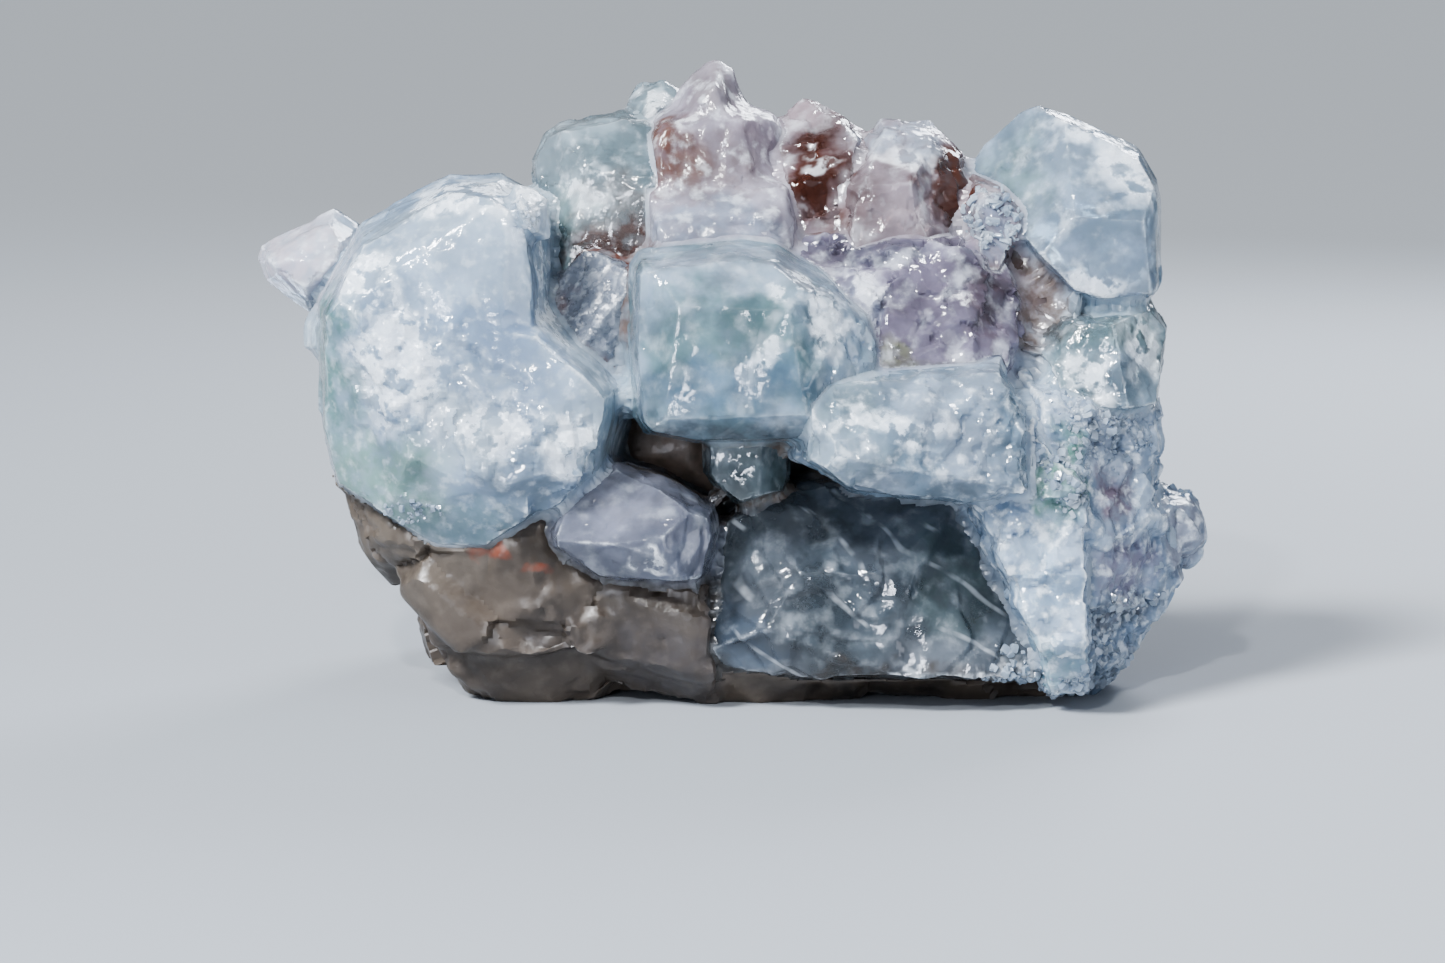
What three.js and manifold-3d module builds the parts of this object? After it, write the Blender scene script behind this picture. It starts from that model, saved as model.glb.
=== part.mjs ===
// Apophyllite with heulandite: a cluster of pale, blocky apophyllite crystals and pinkish-brown
// heulandite on a broken lump of matrix. Millimetres, +Z up, +X to the viewer's right and +Y away
// from the viewer. The origin is the middle of the bounding box's bottom, on the surface below.
import * as THREE from "three";
import { mergeVertices } from "three/addons/utils/BufferGeometryUtils.js";
import Module from "manifold-3d";

const wasm = await Module();
wasm.setup();

// ---- driving dimensions ------------------------------------------------------------------------

const CONTACT_GAP = 0.3; // clear seam between two crystals that meet
const ROUGH_BLOCK = 160; // edge of the block that every crystal is cut from

const LEFT_TIP = -52.5; // leftmost point, on the tip crystal
const RIGHT_TIP = 52.0; // rightmost point, on the druse
const PEAK_TOP = 68.0; // height of the highest heulandite
const FLOOR = 0; // height of the flat that the specimen rests on
const UNDERSIDE = -4; // how far the rough lumps would reach before the flat trims them

const LEDGE_FRONT = -29; // foremost face of the specimen
const CENTRE_FRONT = -28; // face of the centre block
const LEFT_FRONT = -24; // face of the left block
const CAVITY_DEPTH = -4; // where the matrix behind the cavity begins
const SPECIMEN_BACK = 30; // depth of the rearmost lump of matrix

// ---- finishes ----------------------------------------------------------------------------------

const FINISH = {
  apophyllite: { color: 0xdbe7ef, roughness: 0.32, metalness: 0 },
  heulandite: { color: 0xd9c3be, roughness: 0.28, metalness: 0 },
  matrix: { color: 0x8f857c, roughness: 0.75, metalness: 0 },
};

// ---- planes and solids -------------------------------------------------------------------------

/** Outward unit normal of a face turned `azimuth` degrees to the right and `rise` degrees up. */
function normalOf(azimuth, rise) {
  const turn = THREE.MathUtils.degToRad(azimuth);
  const lift = THREE.MathUtils.degToRad(rise);
  return new THREE.Vector3(
    Math.sin(turn) * Math.cos(lift),
    -Math.cos(turn) * Math.cos(lift),
    Math.sin(lift),
  );
}

/** The crystal face through `point` that looks towards `azimuth` and `rise`. */
function face(azimuth, rise, point) {
  const normal = normalOf(azimuth, rise);
  return { normal, offset: normal.dot(new THREE.Vector3(...point)) };
}

/** A closed three.js geometry as a solid that can be cut and joined. */
function solidFrom(geometry) {
  const bare = geometry.clone();
  bare.deleteAttribute("normal");
  bare.deleteAttribute("uv");
  const merged = mergeVertices(bare);
  return new wasm.Manifold(
    new wasm.Mesh({
      numProp: 3,
      vertProperties: merged.attributes.position.array,
      triVerts: new Uint32Array(merged.index.array),
    }),
  );
}

/** The block that a list of faces cuts out, with every face moved outwards by `growth`. */
function cutByFaces(faces, growth = 0) {
  const rough = solidFrom(new THREE.BoxGeometry(ROUGH_BLOCK, ROUGH_BLOCK, ROUGH_BLOCK));
  return faces.reduce(
    (solid, { normal, offset }) =>
      solid.trimByPlane(normal.clone().negate().toArray(), -(offset + growth)),
    rough,
  );
}

/** Middle of an outline's box, as [x, z]. */
function middleOf(outline) {
  const box = new THREE.Box2().setFromPoints(outline.map(([x, z]) => new THREE.Vector2(x, z)));
  const middle = box.getCenter(new THREE.Vector2());
  return [middle.x, middle.y];
}

/**
 * The faces of one crystal. `outline` is its widest section, listed clockwise as [x, z] at the
 * depth `girdle`; the sides lean in from there by `taper` degrees towards the front and by
 * `backTaper` towards the back. `front` and `back` are the depths of its two ends, `frontTurn`
 * and `backTurn` the [azimuth, rise] of those ends, and `extra` its remaining faces.
 */
function crystal({
  outline,
  girdle,
  front,
  back,
  taper = 12,
  backTaper = 6,
  frontTurn = [0, 0],
  backTurn = [180, 0],
  extra = [],
}) {
  const [x, z] = middleOf(outline);
  const faces = [face(...frontTurn, [x, front, z]), face(...backTurn, [x, back, z]), ...extra];
  outline.forEach(([x0, z0], index) => {
    const [x1, z1] = outline[(index + 1) % outline.length];
    const across = new THREE.Vector3(z0 - z1, 0, x1 - x0).normalize();
    for (const [lean, side] of [[taper, -1], [backTaper, 1]]) {
      const angle = THREE.MathUtils.degToRad(lean);
      const normal = across.clone().multiplyScalar(Math.cos(angle));
      normal.y = side * Math.sin(angle);
      faces.push({ normal, offset: normal.dot(new THREE.Vector3(x0, girdle, z0)) });
    }
  });
  return faces;
}

/** The union of several crystals, each grown outwards by `growth`. */
function joined(crystals, growth = 0) {
  return crystals
    .map((faces) => cutByFaces(faces, growth))
    .reduce((total, solid) => total.add(solid));
}

/** The largest body of a solid, so that no loose sliver is left by a cut. */
function largestBody(solid) {
  const bodies = solid.decompose();
  return bodies.reduce((best, body) => (body.volume() > best.volume() ? body : best));
}

// ---- crystals ----------------------------------------------------------------------------------

/** Broad pale block at the left, with the tip crystal and two small crystals grown into it. */
function apophylliteLeft() {
  const broadFront = face(3, 13, [-30, LEFT_FRONT + 0.5, 36]);
  const lowerFront = face(-14, -26, [-34, -23, 26]);
  const block = crystal({
    outline: [
      [-44.5, 29.5], [-44.5, 42.5], [-42.0, 47.0], [-40.0, 50.5], [-30.5, 56.0], [-25.0, 56.0],
      [-20.5, 53.5], [-19.5, 46.5], [-19.0, 31.5], [-19.0, 20.0], [-25.5, 16.0], [-32.0, 16.0],
      [-43.0, 23.0],
    ],
    girdle: -6,
    front: LEFT_FRONT,
    back: 12,
    taper: 8,
    backTurn: [-166, 12],
    extra: [
      broadFront,
      lowerFront,
      face(-40, -10, [-40.5, -19, 31]),
      face(30, 10, [-23.5, -21, 44]),
      face(-20, 38, [-36, -19, 49]),
    ],
  });
  const shoulder = crystal({
    outline: [
      [-27.0, 43.5], [-19.5, 42.5], [-14.0, 38.0], [-11.0, 34.5], [-11.0, 31.0], [-12.5, 24.5],
      [-17.0, 20.5], [-23.0, 18.0], [-29.0, 20.0], [-32.5, 32.0],
    ],
    girdle: -8,
    front: -25,
    back: 6,
    taper: 10,
    extra: [
      broadFront,
      lowerFront,
      face(20, 4, [-20, -24.5, 32]),
      face(12, -34, [-20, -23.5, 24]),
    ],
  });
  const bulge = crystal({
    outline: [
      [-42.5, 33.5], [-45.0, 35.0], [-46.5, 37.0], [-46.5, 39.5], [-45.0, 42.0], [-42.5, 42.0],
    ],
    girdle: -2,
    front: -8,
    back: 5,
    taper: 20,
  });
  const tip = crystal({
    outline: [
      [LEFT_TIP, 46.0], [LEFT_TIP + 0.5, 47.5], [-44.0, 51.5], [-41.0, 49.5], [-40.0, 45.5], [-43.0, 42.5],
      [-46.5, 40.0], [-51.5, 43.5],
    ],
    girdle: 4,
    front: -3,
    back: 11,
    taper: 22,
    frontTurn: [-14, 8],
    extra: [face(-10, 48, [-47, -1, 48])],
  });
  const parasite = crystal({
    outline: [
      [-24.0, 53.5], [-23.0, 55.5], [-21.0, 55.0], [-19.5, 54.0], [-19.5, 50.0], [-21.5, 49.5],
      [-23.5, 51.5],
    ],
    girdle: -16,
    front: -21,
    back: -8,
    taper: 24,
  });
  return [block, shoulder, bulge, tip, parasite];
}

/** Upper left block with a small crystal on its right shoulder. */
function apophylliteUpperLeft() {
  const block = crystal({
    outline: [
      [-22.0, 57.0], [-20.5, 60.0], [-19.0, 61.0], [-12.0, 62.5], [-8.0, 61.5], [-5.0, 56.0],
      [-5.0, 41.0], [-18.0, 41.0], [-20.5, 46.0], [-21.5, 52.0],
    ],
    girdle: 3,
    front: -8,
    back: 15,
    taper: 8,
    frontTurn: [-6, 8],
    backTurn: [170, 16],
    extra: [face(-46, 14, [-19.5, -4, 54]), face(0, 42, [-15, -4, 60])],
  });
  const knob = crystal({
    outline: [
      [-12.5, 61.5], [-11.5, 63.5], [-10.0, 65.0], [-7.5, 65.5], [-5.0, 64.0], [-5.0, 57.0],
      [-12.0, 57.0],
    ],
    girdle: 6,
    front: 0,
    back: 11,
    taper: 24,
  });
  return [block, knob];
}

/** Small grey crystal set back in the notch between the left and the centre blocks. */
function apophylliteNotch() {
  return [
    crystal({
      outline: [
        [-20.5, 46.5], [-18.5, 48.5], [-14.5, 48.5], [-10.0, 47.0], [-8.0, 38.5], [-10.0, 34.0],
        [-14.5, 34.5], [-18.5, 37.0], [-20.5, 41.0],
      ],
      girdle: -4,
      front: -15,
      back: 6,
      taper: 8,
      frontTurn: [16, -8],
      extra: [face(-35, 30, [-17, -10, 45])],
    }),
  ];
}

/** Highest heulandite: a rounded peak on a shoulder, with a pale skirt in front. */
function heulanditePeak() {
  const peak = crystal({
    outline: [
      [-9.0, 58.0], [-6.0, 65.0], [-4.0, 67.0], [-2.5, PEAK_TOP], [-1.5, PEAK_TOP], [0.0, 67.0],
      [1.0, 64.5], [4.0, 57.0], [0.0, 46.0], [-7.0, 46.0],
    ],
    girdle: 1,
    front: -7,
    back: 10,
    taper: 26,
    backTaper: 20,
    frontTurn: [-4, 20],
  });
  const shoulder = crystal({
    outline: [
      [-10.0, 60.5], [-8.0, 62.5], [1.0, 63.5], [4.5, 62.0], [6.0, 60.0], [6.5, 45.0], [-10.0, 45.0],
    ],
    girdle: 1,
    front: -8,
    back: 12,
    taper: 12,
    backTaper: 14,
    frontTurn: [4, 14],
    backTurn: [-172, 10],
    extra: [face(52, 16, [4, -5, 55])],
  });
  const skirt = crystal({
    outline: [
      [-9.5, 55.5], [-3.5, 56.5], [6.0, 55.0], [7.5, 50.5], [7.5, 44.0], [-9.5, 44.0],
    ],
    girdle: -6,
    front: -13,
    back: 6,
    taper: 12,
    frontTurn: [2, 16],
    extra: [face(-4, 54, [-2, -11, 52.5]), face(44, 20, [6.5, -11, 50])],
  });
  return [peak, shoulder, skirt];
}

/** Heulandites right of the peak: glossy brown, white-capped, small bluish, and one in the saddle. */
function heulanditeCrown() {
  const brown = crystal({
    outline: [
      [4.0, 61.0], [7.5, 63.5], [9.0, 63.0], [12.0, 62.0], [14.5, 60.0], [14.5, 57.0],
      [12.0, 46.0], [4.0, 46.0],
    ],
    girdle: 3,
    front: -7,
    back: 11,
    taper: 10,
    backTaper: 14,
    frontTurn: [6, 20],
    backTurn: [164, 20],
    extra: [face(-20, 50, [8, -2, 60])],
  });
  const capped = crystal({
    outline: [
      [9.5, 49.5], [10.5, 55.5], [14.5, 60.0], [16.0, 61.5], [21.5, 61.0], [25.0, 58.0],
      [26.0, 55.0], [25.5, 50.5], [23.5, 45.0], [11.0, 45.0],
    ],
    girdle: 1,
    front: -11,
    back: 15,
    taper: 13,
    backTaper: 14,
    frontTurn: [2, 12],
    backTurn: [-164, 24],
    extra: [face(0, 52, [18, -7, 58]), face(50, 20, [24, -5, 54])],
  });
  const flank = crystal({
    outline: [
      [24.0, 53.0], [26.0, 55.5], [29.0, 55.0], [32.0, 53.0], [32.0, 50.0], [29.5, 44.0],
      [24.0, 44.0],
    ],
    girdle: -2,
    front: -11,
    back: 8,
    taper: 12,
    frontTurn: [18, 26],
  });
  const saddle = crystal({
    outline: [
      [25.0, 43.0], [26.0, 50.0], [31.0, 49.5], [35.0, 45.5], [35.0, 41.5], [29.0, 40.0],
    ],
    girdle: -2,
    front: -9.5,
    back: 6,
    taper: 8,
    frontTurn: [16, 24],
  });
  return [brown, capped, flank, saddle];
}

/** Big clean-faced apophyllite at the top right. */
function apophylliteRightTop() {
  return [
    crystal({
      outline: [
        [25.5, 55.5], [27.0, 58.5], [31.0, 62.0], [33.0, 63.0], [36.5, 62.0], [44.0, 58.5],
        [46.0, 55.0], [46.5, 52.0], [46.5, 44.0], [45.5, 42.0], [39.5, 41.5], [35.5, 42.5],
        [31.0, 47.0],
      ],
      girdle: 0,
      front: -13,
      back: 14,
      taper: 8,
      backTaper: 10,
      frontTurn: [4, -4],
      backTurn: [166, 14],
      extra: [
        face(-44, 30, [36, -12.5, 52.5]),
        face(8, 40, [36, -12.5, 52.5]),
        face(62, 4, [44.3, -11, 50]),
      ],
    }),
  ];
}

/** Greenish block below the big one, with a thin lath lying across its upper left corner. */
function apophylliteRightLower() {
  const block = crystal({
    outline: [
      [34.5, 42.0], [45.0, 42.5], [47.0, 39.5], [46.0, 31.0], [41.5, 30.0], [34.0, 31.0],
      [31.0, 38.5],
    ],
    girdle: -4,
    front: -16,
    back: 9,
    taper: 8,
    frontTurn: [-10, 14],
    extra: [face(48, 18, [44, -12, 38]), face(-50, 30, [35, -14, 39])],
  });
  const lath = crystal({
    outline: [[31.0, 40.5], [30.0, 41.0], [33.5, 43.0], [39.0, 44.0], [39.5, 42.5]],
    girdle: -13,
    front: -18,
    back: -8,
    taper: 20,
  });
  return [block, lath];
}

/** The foremost block of the middle, with a broad flat front and a bevelled top. */
function apophylliteCentre() {
  return [
    crystal({
      outline: [
        [-11.5, 39.0], [-11.0, 47.0], [-10.0, 48.5], [-4.5, 49.0], [1.0, 49.5], [4.5, 49.0],
        [10.5, 45.5], [14.5, 42.5], [16.0, 38.5], [15.5, 33.5], [7.0, 28.0], [-3.5, 28.0],
        [-9.5, 29.0], [-11.0, 31.0],
      ],
      girdle: -14,
      front: CENTRE_FRONT,
      back: -2,
      taper: 9,
      frontTurn: [-2, 7],
      extra: [
        face(0, 44, [-2, -25, 46]),
        face(-42, 10, [-9.5, -25, 38]),
        face(38, 12, [8, -27, 38]),
        face(0, -40, [-2, -27, 30.5]),
      ],
    }),
  ];
}

/** Mauve heulandite that slopes back from the centre blocks up to the top row. */
function heulanditeCentre() {
  return [
    crystal({
      outline: [
        [6.0, 49.5], [15.5, 50.0], [24.0, 49.5], [29.0, 47.0], [31.0, 43.0], [30.5, 39.0],
        [29.0, 33.0], [7.0, 33.0],
      ],
      girdle: -10,
      front: -19,
      back: 4,
      taper: 8,
      frontTurn: [6, 26],
      extra: [face(-16, 52, [15, -15, 47]), face(40, 24, [27, -16, 42])],
    }),
  ];
}

/** White ledge that overhangs the cavity. */
function apophylliteLedge() {
  const ledge = crystal({
    outline: [
      [6.0, 27.0], [6.5, 34.5], [7.5, 36.5], [15.5, 37.0], [28.0, 37.5], [31.0, 31.0],
      [31.5, 23.5], [24.0, 22.0], [12.0, 23.5],
    ],
    girdle: -18,
    front: LEDGE_FRONT,
    back: -6,
    taper: 9,
    frontTurn: [14, 10],
    extra: [face(4, 44, [16, -27, 34]), face(-42, 4, [8, -29, 30]), face(4, -34, [16, -29, 26])],
  });
  return [ledge];
}

/** Sugary mass at the right, with an apron down to the base in front and a pointed tip. */
function apophylliteDruse() {
  const apron = crystal({
    outline: [
      [33.3, 2.0], [24.0, 23.0], [24.5, 27.0], [31.5, 32.0], [37.8, 23.0], [37.8, 2.0],
    ],
    girdle: -16,
    front: -24.5,
    back: -4,
    taper: 8,
    frontTurn: [2, 8],
    extra: [face(-30, 10, [30, -25, 20]), face(0, -40, [35, -24.5, 7])],
  });
  const upper = crystal({
    outline: [
      [29.0, 16.0], [29.0, 37.0], [35.5, 36.0], [46.0, 32.0], [46.5, 27.0], [46.3, 20.0],
      [40.0, 14.0],
    ],
    girdle: -6,
    front: -21,
    back: 12,
    taper: 14,
    backTaper: 16,
    frontTurn: [12, 14],
    extra: [face(46, 8, [43, -14, 26])],
  });
  const middle = crystal({
    outline: [
      [31.0, 12.0], [33.0, 22.0], [45.0, 23.5], [48.5, 20.5], [49.0, 12.0], [46.0, 8.5],
      [35.5, 5.0],
    ],
    girdle: -5,
    front: -19,
    back: 14,
    taper: 18,
    backTaper: 20,
    frontTurn: [26, 6],
    backTurn: [156, 10],
    extra: [face(52, -8, [45, -12, 14])],
  });
  const foot = crystal({
    outline: [
      [33.5, UNDERSIDE], [33.5, 14.0], [48.0, 15.5], [49.0, 12.0], [42.0, 1.0],
      [37.0, UNDERSIDE],
    ],
    girdle: -4,
    front: -19,
    back: 10,
    taper: 12,
    backTaper: 20,
    frontTurn: [22, 2],
    extra: [face(50, -18, [42, -13, 8]), face(18, -40, [38, -11, FLOOR])],
  });
  const point = crystal({
    outline: [
      [44.5, 17.0], [46.5, 22.5], [50.0, 21.5], [51.0, 20.5], [RIGHT_TIP, 18.5], [RIGHT_TIP, 16.0],
      [50.0, 13.5], [46.5, 11.0],
    ],
    girdle: -3,
    front: -9,
    back: 4,
    taper: 26,
    backTaper: 22,
    frontTurn: [30, 12],
  });
  return [apron, upper, middle, foot, point];
}

/** Glassy crystal low in the middle, under the ledge. */
function apophylliteLowerCentre() {
  return [
    crystal({
      outline: [
        [-4.5, 6.5], [-4.0, 10.5], [-2.0, 16.5], [-1.0, 19.5], [1.0, 21.0], [7.0, 23.0],
        [24.0, 23.5], [28.5, 15.5], [33.0, 6.5], [33.5, 2.0], [7.0, 2.0], [-1.5, 3.5],
      ],
      girdle: -10,
      front: -21,
      back: 2,
      taper: 10,
      frontTurn: [0, 6],
      extra: [
        face(-34, 24, [3, -18, 15]),
        face(24, 26, [21, -19, 14]),
        face(-12, -26, [4, -20, 6]),
        face(0, 48, [12, -14, 21]),
      ],
    }),
  ];
}

/** Small stubby crystal that hangs from the centre block into the cavity. */
function apophylliteHanging() {
  return [
    crystal({
      outline: [
        [-3.2, 24.5], [-3.5, 31.0], [6.3, 31.0], [6.0, 24.5], [5.5, 22.5], [0.5, 21.0],
        [-1.5, 22.5],
      ],
      girdle: -12,
      front: -17,
      back: -3,
      taper: 12,
      frontTurn: [-6, 4],
      extra: [face(44, 0, [4, -16, 26])],
    }),
  ];
}

/** Bluish crystal below the left block. */
function apophylliteLowerLeft() {
  return [
    crystal({
      outline: [
        [-20.0, 19.5], [-18.5, 22.0], [-12.5, 26.0], [-7.5, 24.5], [-2.0, 21.5], [-1.5, 19.0],
        [-2.5, 14.5], [-3.5, 13.5], [-12.0, 13.5], [-14.5, 14.0], [-19.5, 17.5],
      ],
      girdle: -16,
      front: -25,
      back: -4,
      taper: 10,
      frontTurn: [2, 8],
      extra: [face(-10, -30, [-10, -24, 16]), face(36, 6, [-4.5, -23, 18]), face(-6, 46, [-10, -21, 23])],
    }),
  ];
}

/** Broken brownish-grey lump that carries the crystals and forms the back and the base. */
function matrixLump() {
  const leftLobe = crystal({
    outline: [
      [-43.5, 24.0], [-20.0, 24.5], [-5.0, 17.0], [-8.0, 6.0], [-16.0, 3.5], [-29.0, 4.5],
      [-33.5, 9.0], [-38.5, 14.5], [-42.5, 20.5],
    ],
    girdle: -8,
    front: -20.5,
    back: 20,
    taper: 9,
    backTaper: 12,
    frontTurn: [-8, -6],
    extra: [face(-42, -14, [-34, -18, 15]), face(18, 10, [-14, -19, 12])],
  });
  const leftFoot = crystal({
    outline: [
      [-33.0, 9.0], [-20.0, 16.0], [-1.5, 15.0], [0.4, UNDERSIDE], [-24.4, UNDERSIDE],
      [-30.5, 2.8], [-32.8, 6.5],
    ],
    girdle: -9,
    front: -18.5,
    back: 20,
    taper: 12,
    backTaper: 12,
    frontTurn: [-6, 0],
    extra: [face(-30, -16, [-25, -17, 5]), face(-6, -40, [-14, -14.5, FLOOR])],
  });
  const rightFoot = crystal({
    outline: [
      [-4.0, UNDERSIDE], [-4.0, 9.0], [36.0, 9.0], [38.5, 3.0], [32.5, UNDERSIDE],
    ],
    girdle: -8,
    front: -16,
    back: 18,
    taper: 16,
    backTaper: 14,
    frontTurn: [4, 4],
    extra: [face(4, -38, [14, -13.5, FLOOR])],
  });
  const bed = crystal({
    outline: [
      [-38.0, 12.0], [-41.0, 24.0], [-39.0, 40.0], [-28.0, 48.0], [-6.0, 52.0], [20.0, 52.0],
      [33.0, 51.5], [39.0, 43.0], [44.0, 26.0], [43.0, 10.0], [33.2, UNDERSIDE], [-23.3, UNDERSIDE],
    ],
    girdle: 8,
    front: CAVITY_DEPTH,
    back: SPECIMEN_BACK - 5,
    taper: 10,
    backTaper: 30,
    backTurn: [176, 8],
    extra: [face(140, 26, [22, 20, 36]), face(-146, 22, [-20, 19, 36])],
  });
  const rearLeft = crystal({
    outline: [
      [-32.9, UNDERSIDE], [-38.0, 14.0], [-34.0, 30.0], [-20.0, 39.0], [-6.0, 34.0],
      [-2.0, 12.0], [-10.0, UNDERSIDE],
    ],
    girdle: 13,
    front: 0,
    back: SPECIMEN_BACK - 2,
    backTaper: 24,
    backTurn: [-164, 14],
    extra: [face(-170, -24, [-20, SPECIMEN_BACK - 2, 12])],
  });
  const rearRight = crystal({
    outline: [
      [5.2, UNDERSIDE], [-2.0, 20.0], [6.0, 38.0], [24.0, 42.0], [38.0, 32.0], [41.0, 16.0],
      [36.0, 3.0], [26.7, UNDERSIDE],
    ],
    girdle: 12,
    front: 0,
    back: SPECIMEN_BACK,
    backTaper: 22,
    backTurn: [168, 4],
    extra: [face(150, 34, [20, SPECIMEN_BACK - 3, 30]), face(172, -26, [18, SPECIMEN_BACK - 1, 9])],
  });
  return [leftLobe, leftFoot, rightFoot, bed, rearLeft, rearRight];
}

// ---- assembly ----------------------------------------------------------------------------------

/** The pieces in the order in which they took their room: each is cut by all before it. */
const PIECES = [
  ["apophyllite_ledge", apophylliteLedge(), "apophyllite"],
  ["apophyllite_centre", apophylliteCentre(), "apophyllite"],
  ["apophyllite_left", apophylliteLeft(), "apophyllite"],
  ["heulandite_peak", heulanditePeak(), "heulandite"],
  ["apophyllite_right_top", apophylliteRightTop(), "apophyllite"],
  ["apophyllite_druse", apophylliteDruse(), "apophyllite"],
  ["heulandite_crown", heulanditeCrown(), "heulandite"],
  ["apophyllite_upper_left", apophylliteUpperLeft(), "apophyllite"],
  ["apophyllite_lower_left", apophylliteLowerLeft(), "apophyllite"],
  ["apophyllite_right_lower", apophylliteRightLower(), "apophyllite"],
  ["apophyllite_lower_centre", apophylliteLowerCentre(), "apophyllite"],
  ["heulandite_centre", heulanditeCentre(), "heulandite"],
  ["apophyllite_notch", apophylliteNotch(), "apophyllite"],
  ["apophyllite_hanging", apophylliteHanging(), "apophyllite"],
  ["matrix", matrixLump(), "matrix"],
];

/** A solid as a three.js mesh with the finish of its mineral. */
function meshFrom(solid, name, finish) {
  const { vertProperties, triVerts } = solid.getMesh();
  const geometry = new THREE.BufferGeometry();
  geometry.setAttribute("position", new THREE.BufferAttribute(new Float32Array(vertProperties), 3));
  geometry.setIndex(new THREE.BufferAttribute(new Uint32Array(triVerts), 1));
  geometry.computeVertexNormals();
  const mesh = new THREE.Mesh(geometry, new THREE.MeshStandardMaterial(FINISH[finish]));
  mesh.name = name;
  return mesh;
}

const group = new THREE.Group();
const groundLevel = { normal: new THREE.Vector3(0, 0, -1), offset: -FLOOR };
let taken = null;
for (const [name, crystals, finish] of PIECES) {
  const standing = crystals.map((faces) => [...faces, groundLevel]);
  const whole = joined(standing);
  const free = taken ? whole.subtract(taken) : whole;
  group.add(meshFrom(largestBody(free), name, finish));
  const claimed = joined(standing, CONTACT_GAP);
  taken = taken ? taken.add(claimed) : claimed;
}

const middle = new THREE.Box3().setFromObject(group).getCenter(new THREE.Vector3());
group.position.set(-middle.x, -middle.y, 0);

export default group;
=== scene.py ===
"""Apophyllite with heulandite: the looks of the crystal cluster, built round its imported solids.

Every crystal starts from a copy of its own solid, is rounded as a worn edge is, and gets its growth
steps, broken facets and fracture swirls as real shape. Cracks inside clear crystals and the small
crystals on their skins are pieces of their own. Shapes are worked out in millimetres.
"""

from __future__ import annotations

import logging
import math
from collections.abc import Callable, Sequence
from dataclasses import dataclass, replace
from enum import Enum
from functools import partial
from typing import Any, ClassVar

import bpy
import numpy as np
from mathutils import Euler, Matrix, Vector
from mathutils.bvhtree import BVHTree


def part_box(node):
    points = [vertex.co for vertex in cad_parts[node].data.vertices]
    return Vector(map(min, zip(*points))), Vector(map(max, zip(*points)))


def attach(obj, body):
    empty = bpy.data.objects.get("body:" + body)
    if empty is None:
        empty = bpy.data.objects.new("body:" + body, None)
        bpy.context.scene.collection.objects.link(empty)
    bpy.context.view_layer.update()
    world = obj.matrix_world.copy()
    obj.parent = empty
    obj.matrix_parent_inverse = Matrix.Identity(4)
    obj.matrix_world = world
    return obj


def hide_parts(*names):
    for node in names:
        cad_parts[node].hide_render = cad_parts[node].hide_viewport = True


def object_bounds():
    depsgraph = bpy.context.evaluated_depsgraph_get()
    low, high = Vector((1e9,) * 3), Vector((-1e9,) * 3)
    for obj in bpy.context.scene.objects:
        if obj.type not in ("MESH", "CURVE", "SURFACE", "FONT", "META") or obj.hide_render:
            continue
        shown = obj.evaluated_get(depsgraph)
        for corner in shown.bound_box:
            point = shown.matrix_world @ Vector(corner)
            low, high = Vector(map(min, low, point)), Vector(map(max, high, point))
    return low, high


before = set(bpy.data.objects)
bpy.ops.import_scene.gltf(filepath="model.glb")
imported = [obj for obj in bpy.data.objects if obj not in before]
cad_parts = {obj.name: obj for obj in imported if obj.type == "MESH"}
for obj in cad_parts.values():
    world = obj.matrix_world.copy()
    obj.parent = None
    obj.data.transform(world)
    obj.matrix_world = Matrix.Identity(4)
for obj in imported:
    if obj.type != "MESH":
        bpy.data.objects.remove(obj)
CAD_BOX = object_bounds()

LOG = logging.getLogger("specimen")
MM = 0.001  # metres in a millimetre
BODY = "root"
IOR_APOPHYLLITE = 1.535
IOR_HEULANDITE = 1.50
WELD = 0.002  # millimetres within which a solid's loose corners are one
WAVE_UNIT = math.tau / 20  # the width of a wave texture's band at scale 1

Triple = tuple[float, float, float]
Adder = Callable[..., Any]  # add_node for one material's tree


# ---- colours and shader nodes -------------------------------------------------------------------


# How a blend of colours, a smooth fade, a clamped product and a clamped maximum are set up.
COLOURS = {"data_type": "RGBA", "out": 2}
SMOOTH = {"interpolation_type": "SMOOTHSTEP"}
TIMES = {"operation": "MULTIPLY", "use_clamp": True}
MOST = {"operation": "MAXIMUM", "use_clamp": True}
HALF = (0.5, 0.5, 0.5)  # the middle of what a colour noise gives


def linear(code: str) -> tuple[float, float, float, float]:
    """Turns an sRGB hex colour into linear light.

    Args:
        code: The colour as "#rrggbb".

    Returns:
        Red, green, blue and an alpha of 1.
    """
    parts = [int(code[i : i + 2], 16) / 255 for i in (1, 3, 5)]
    made = [c / 12.92 if c <= 0.04045 else ((c + 0.055) / 1.055) ** 2.4 for c in parts]
    return made[0], made[1], made[2], 1.0


def add_node(
    tree: bpy.types.NodeTree, kind: str, inputs: dict[Any, Any], out: str | int = 0, **settings: Any
) -> Any:
    """Adds one shader node with its settings and links.

    Args:
        tree: The node tree that it goes into.
        kind: The node's type name without "ShaderNode".
        inputs: What each input, by name or place, is linked to or set to.
        out: The output that is wanted, by name or place.
        **settings: The node's own properties.

    Returns:
        That output's socket, or None from a node without outputs.
    """
    node = tree.nodes.new("ShaderNode" + kind)
    for name, value in settings.items():
        setattr(node, name, value)
    for key, value in inputs.items():
        if isinstance(value, bpy.types.NodeSocket):
            tree.links.new(value, node.inputs[key])
        else:
            node.inputs[key].default_value = value
    return node.outputs[out] if len(node.outputs) else None


def blank_material(name: str) -> tuple[bpy.types.Material, Adder]:
    """Makes a material without nodes.

    Args:
        name: The material's name.

    Returns:
        The material, and add_node for its own tree.
    """
    material = bpy.data.materials.new(name)
    material.use_nodes = True
    material.node_tree.nodes.clear()
    return material, partial(add_node, material.node_tree)


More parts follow.
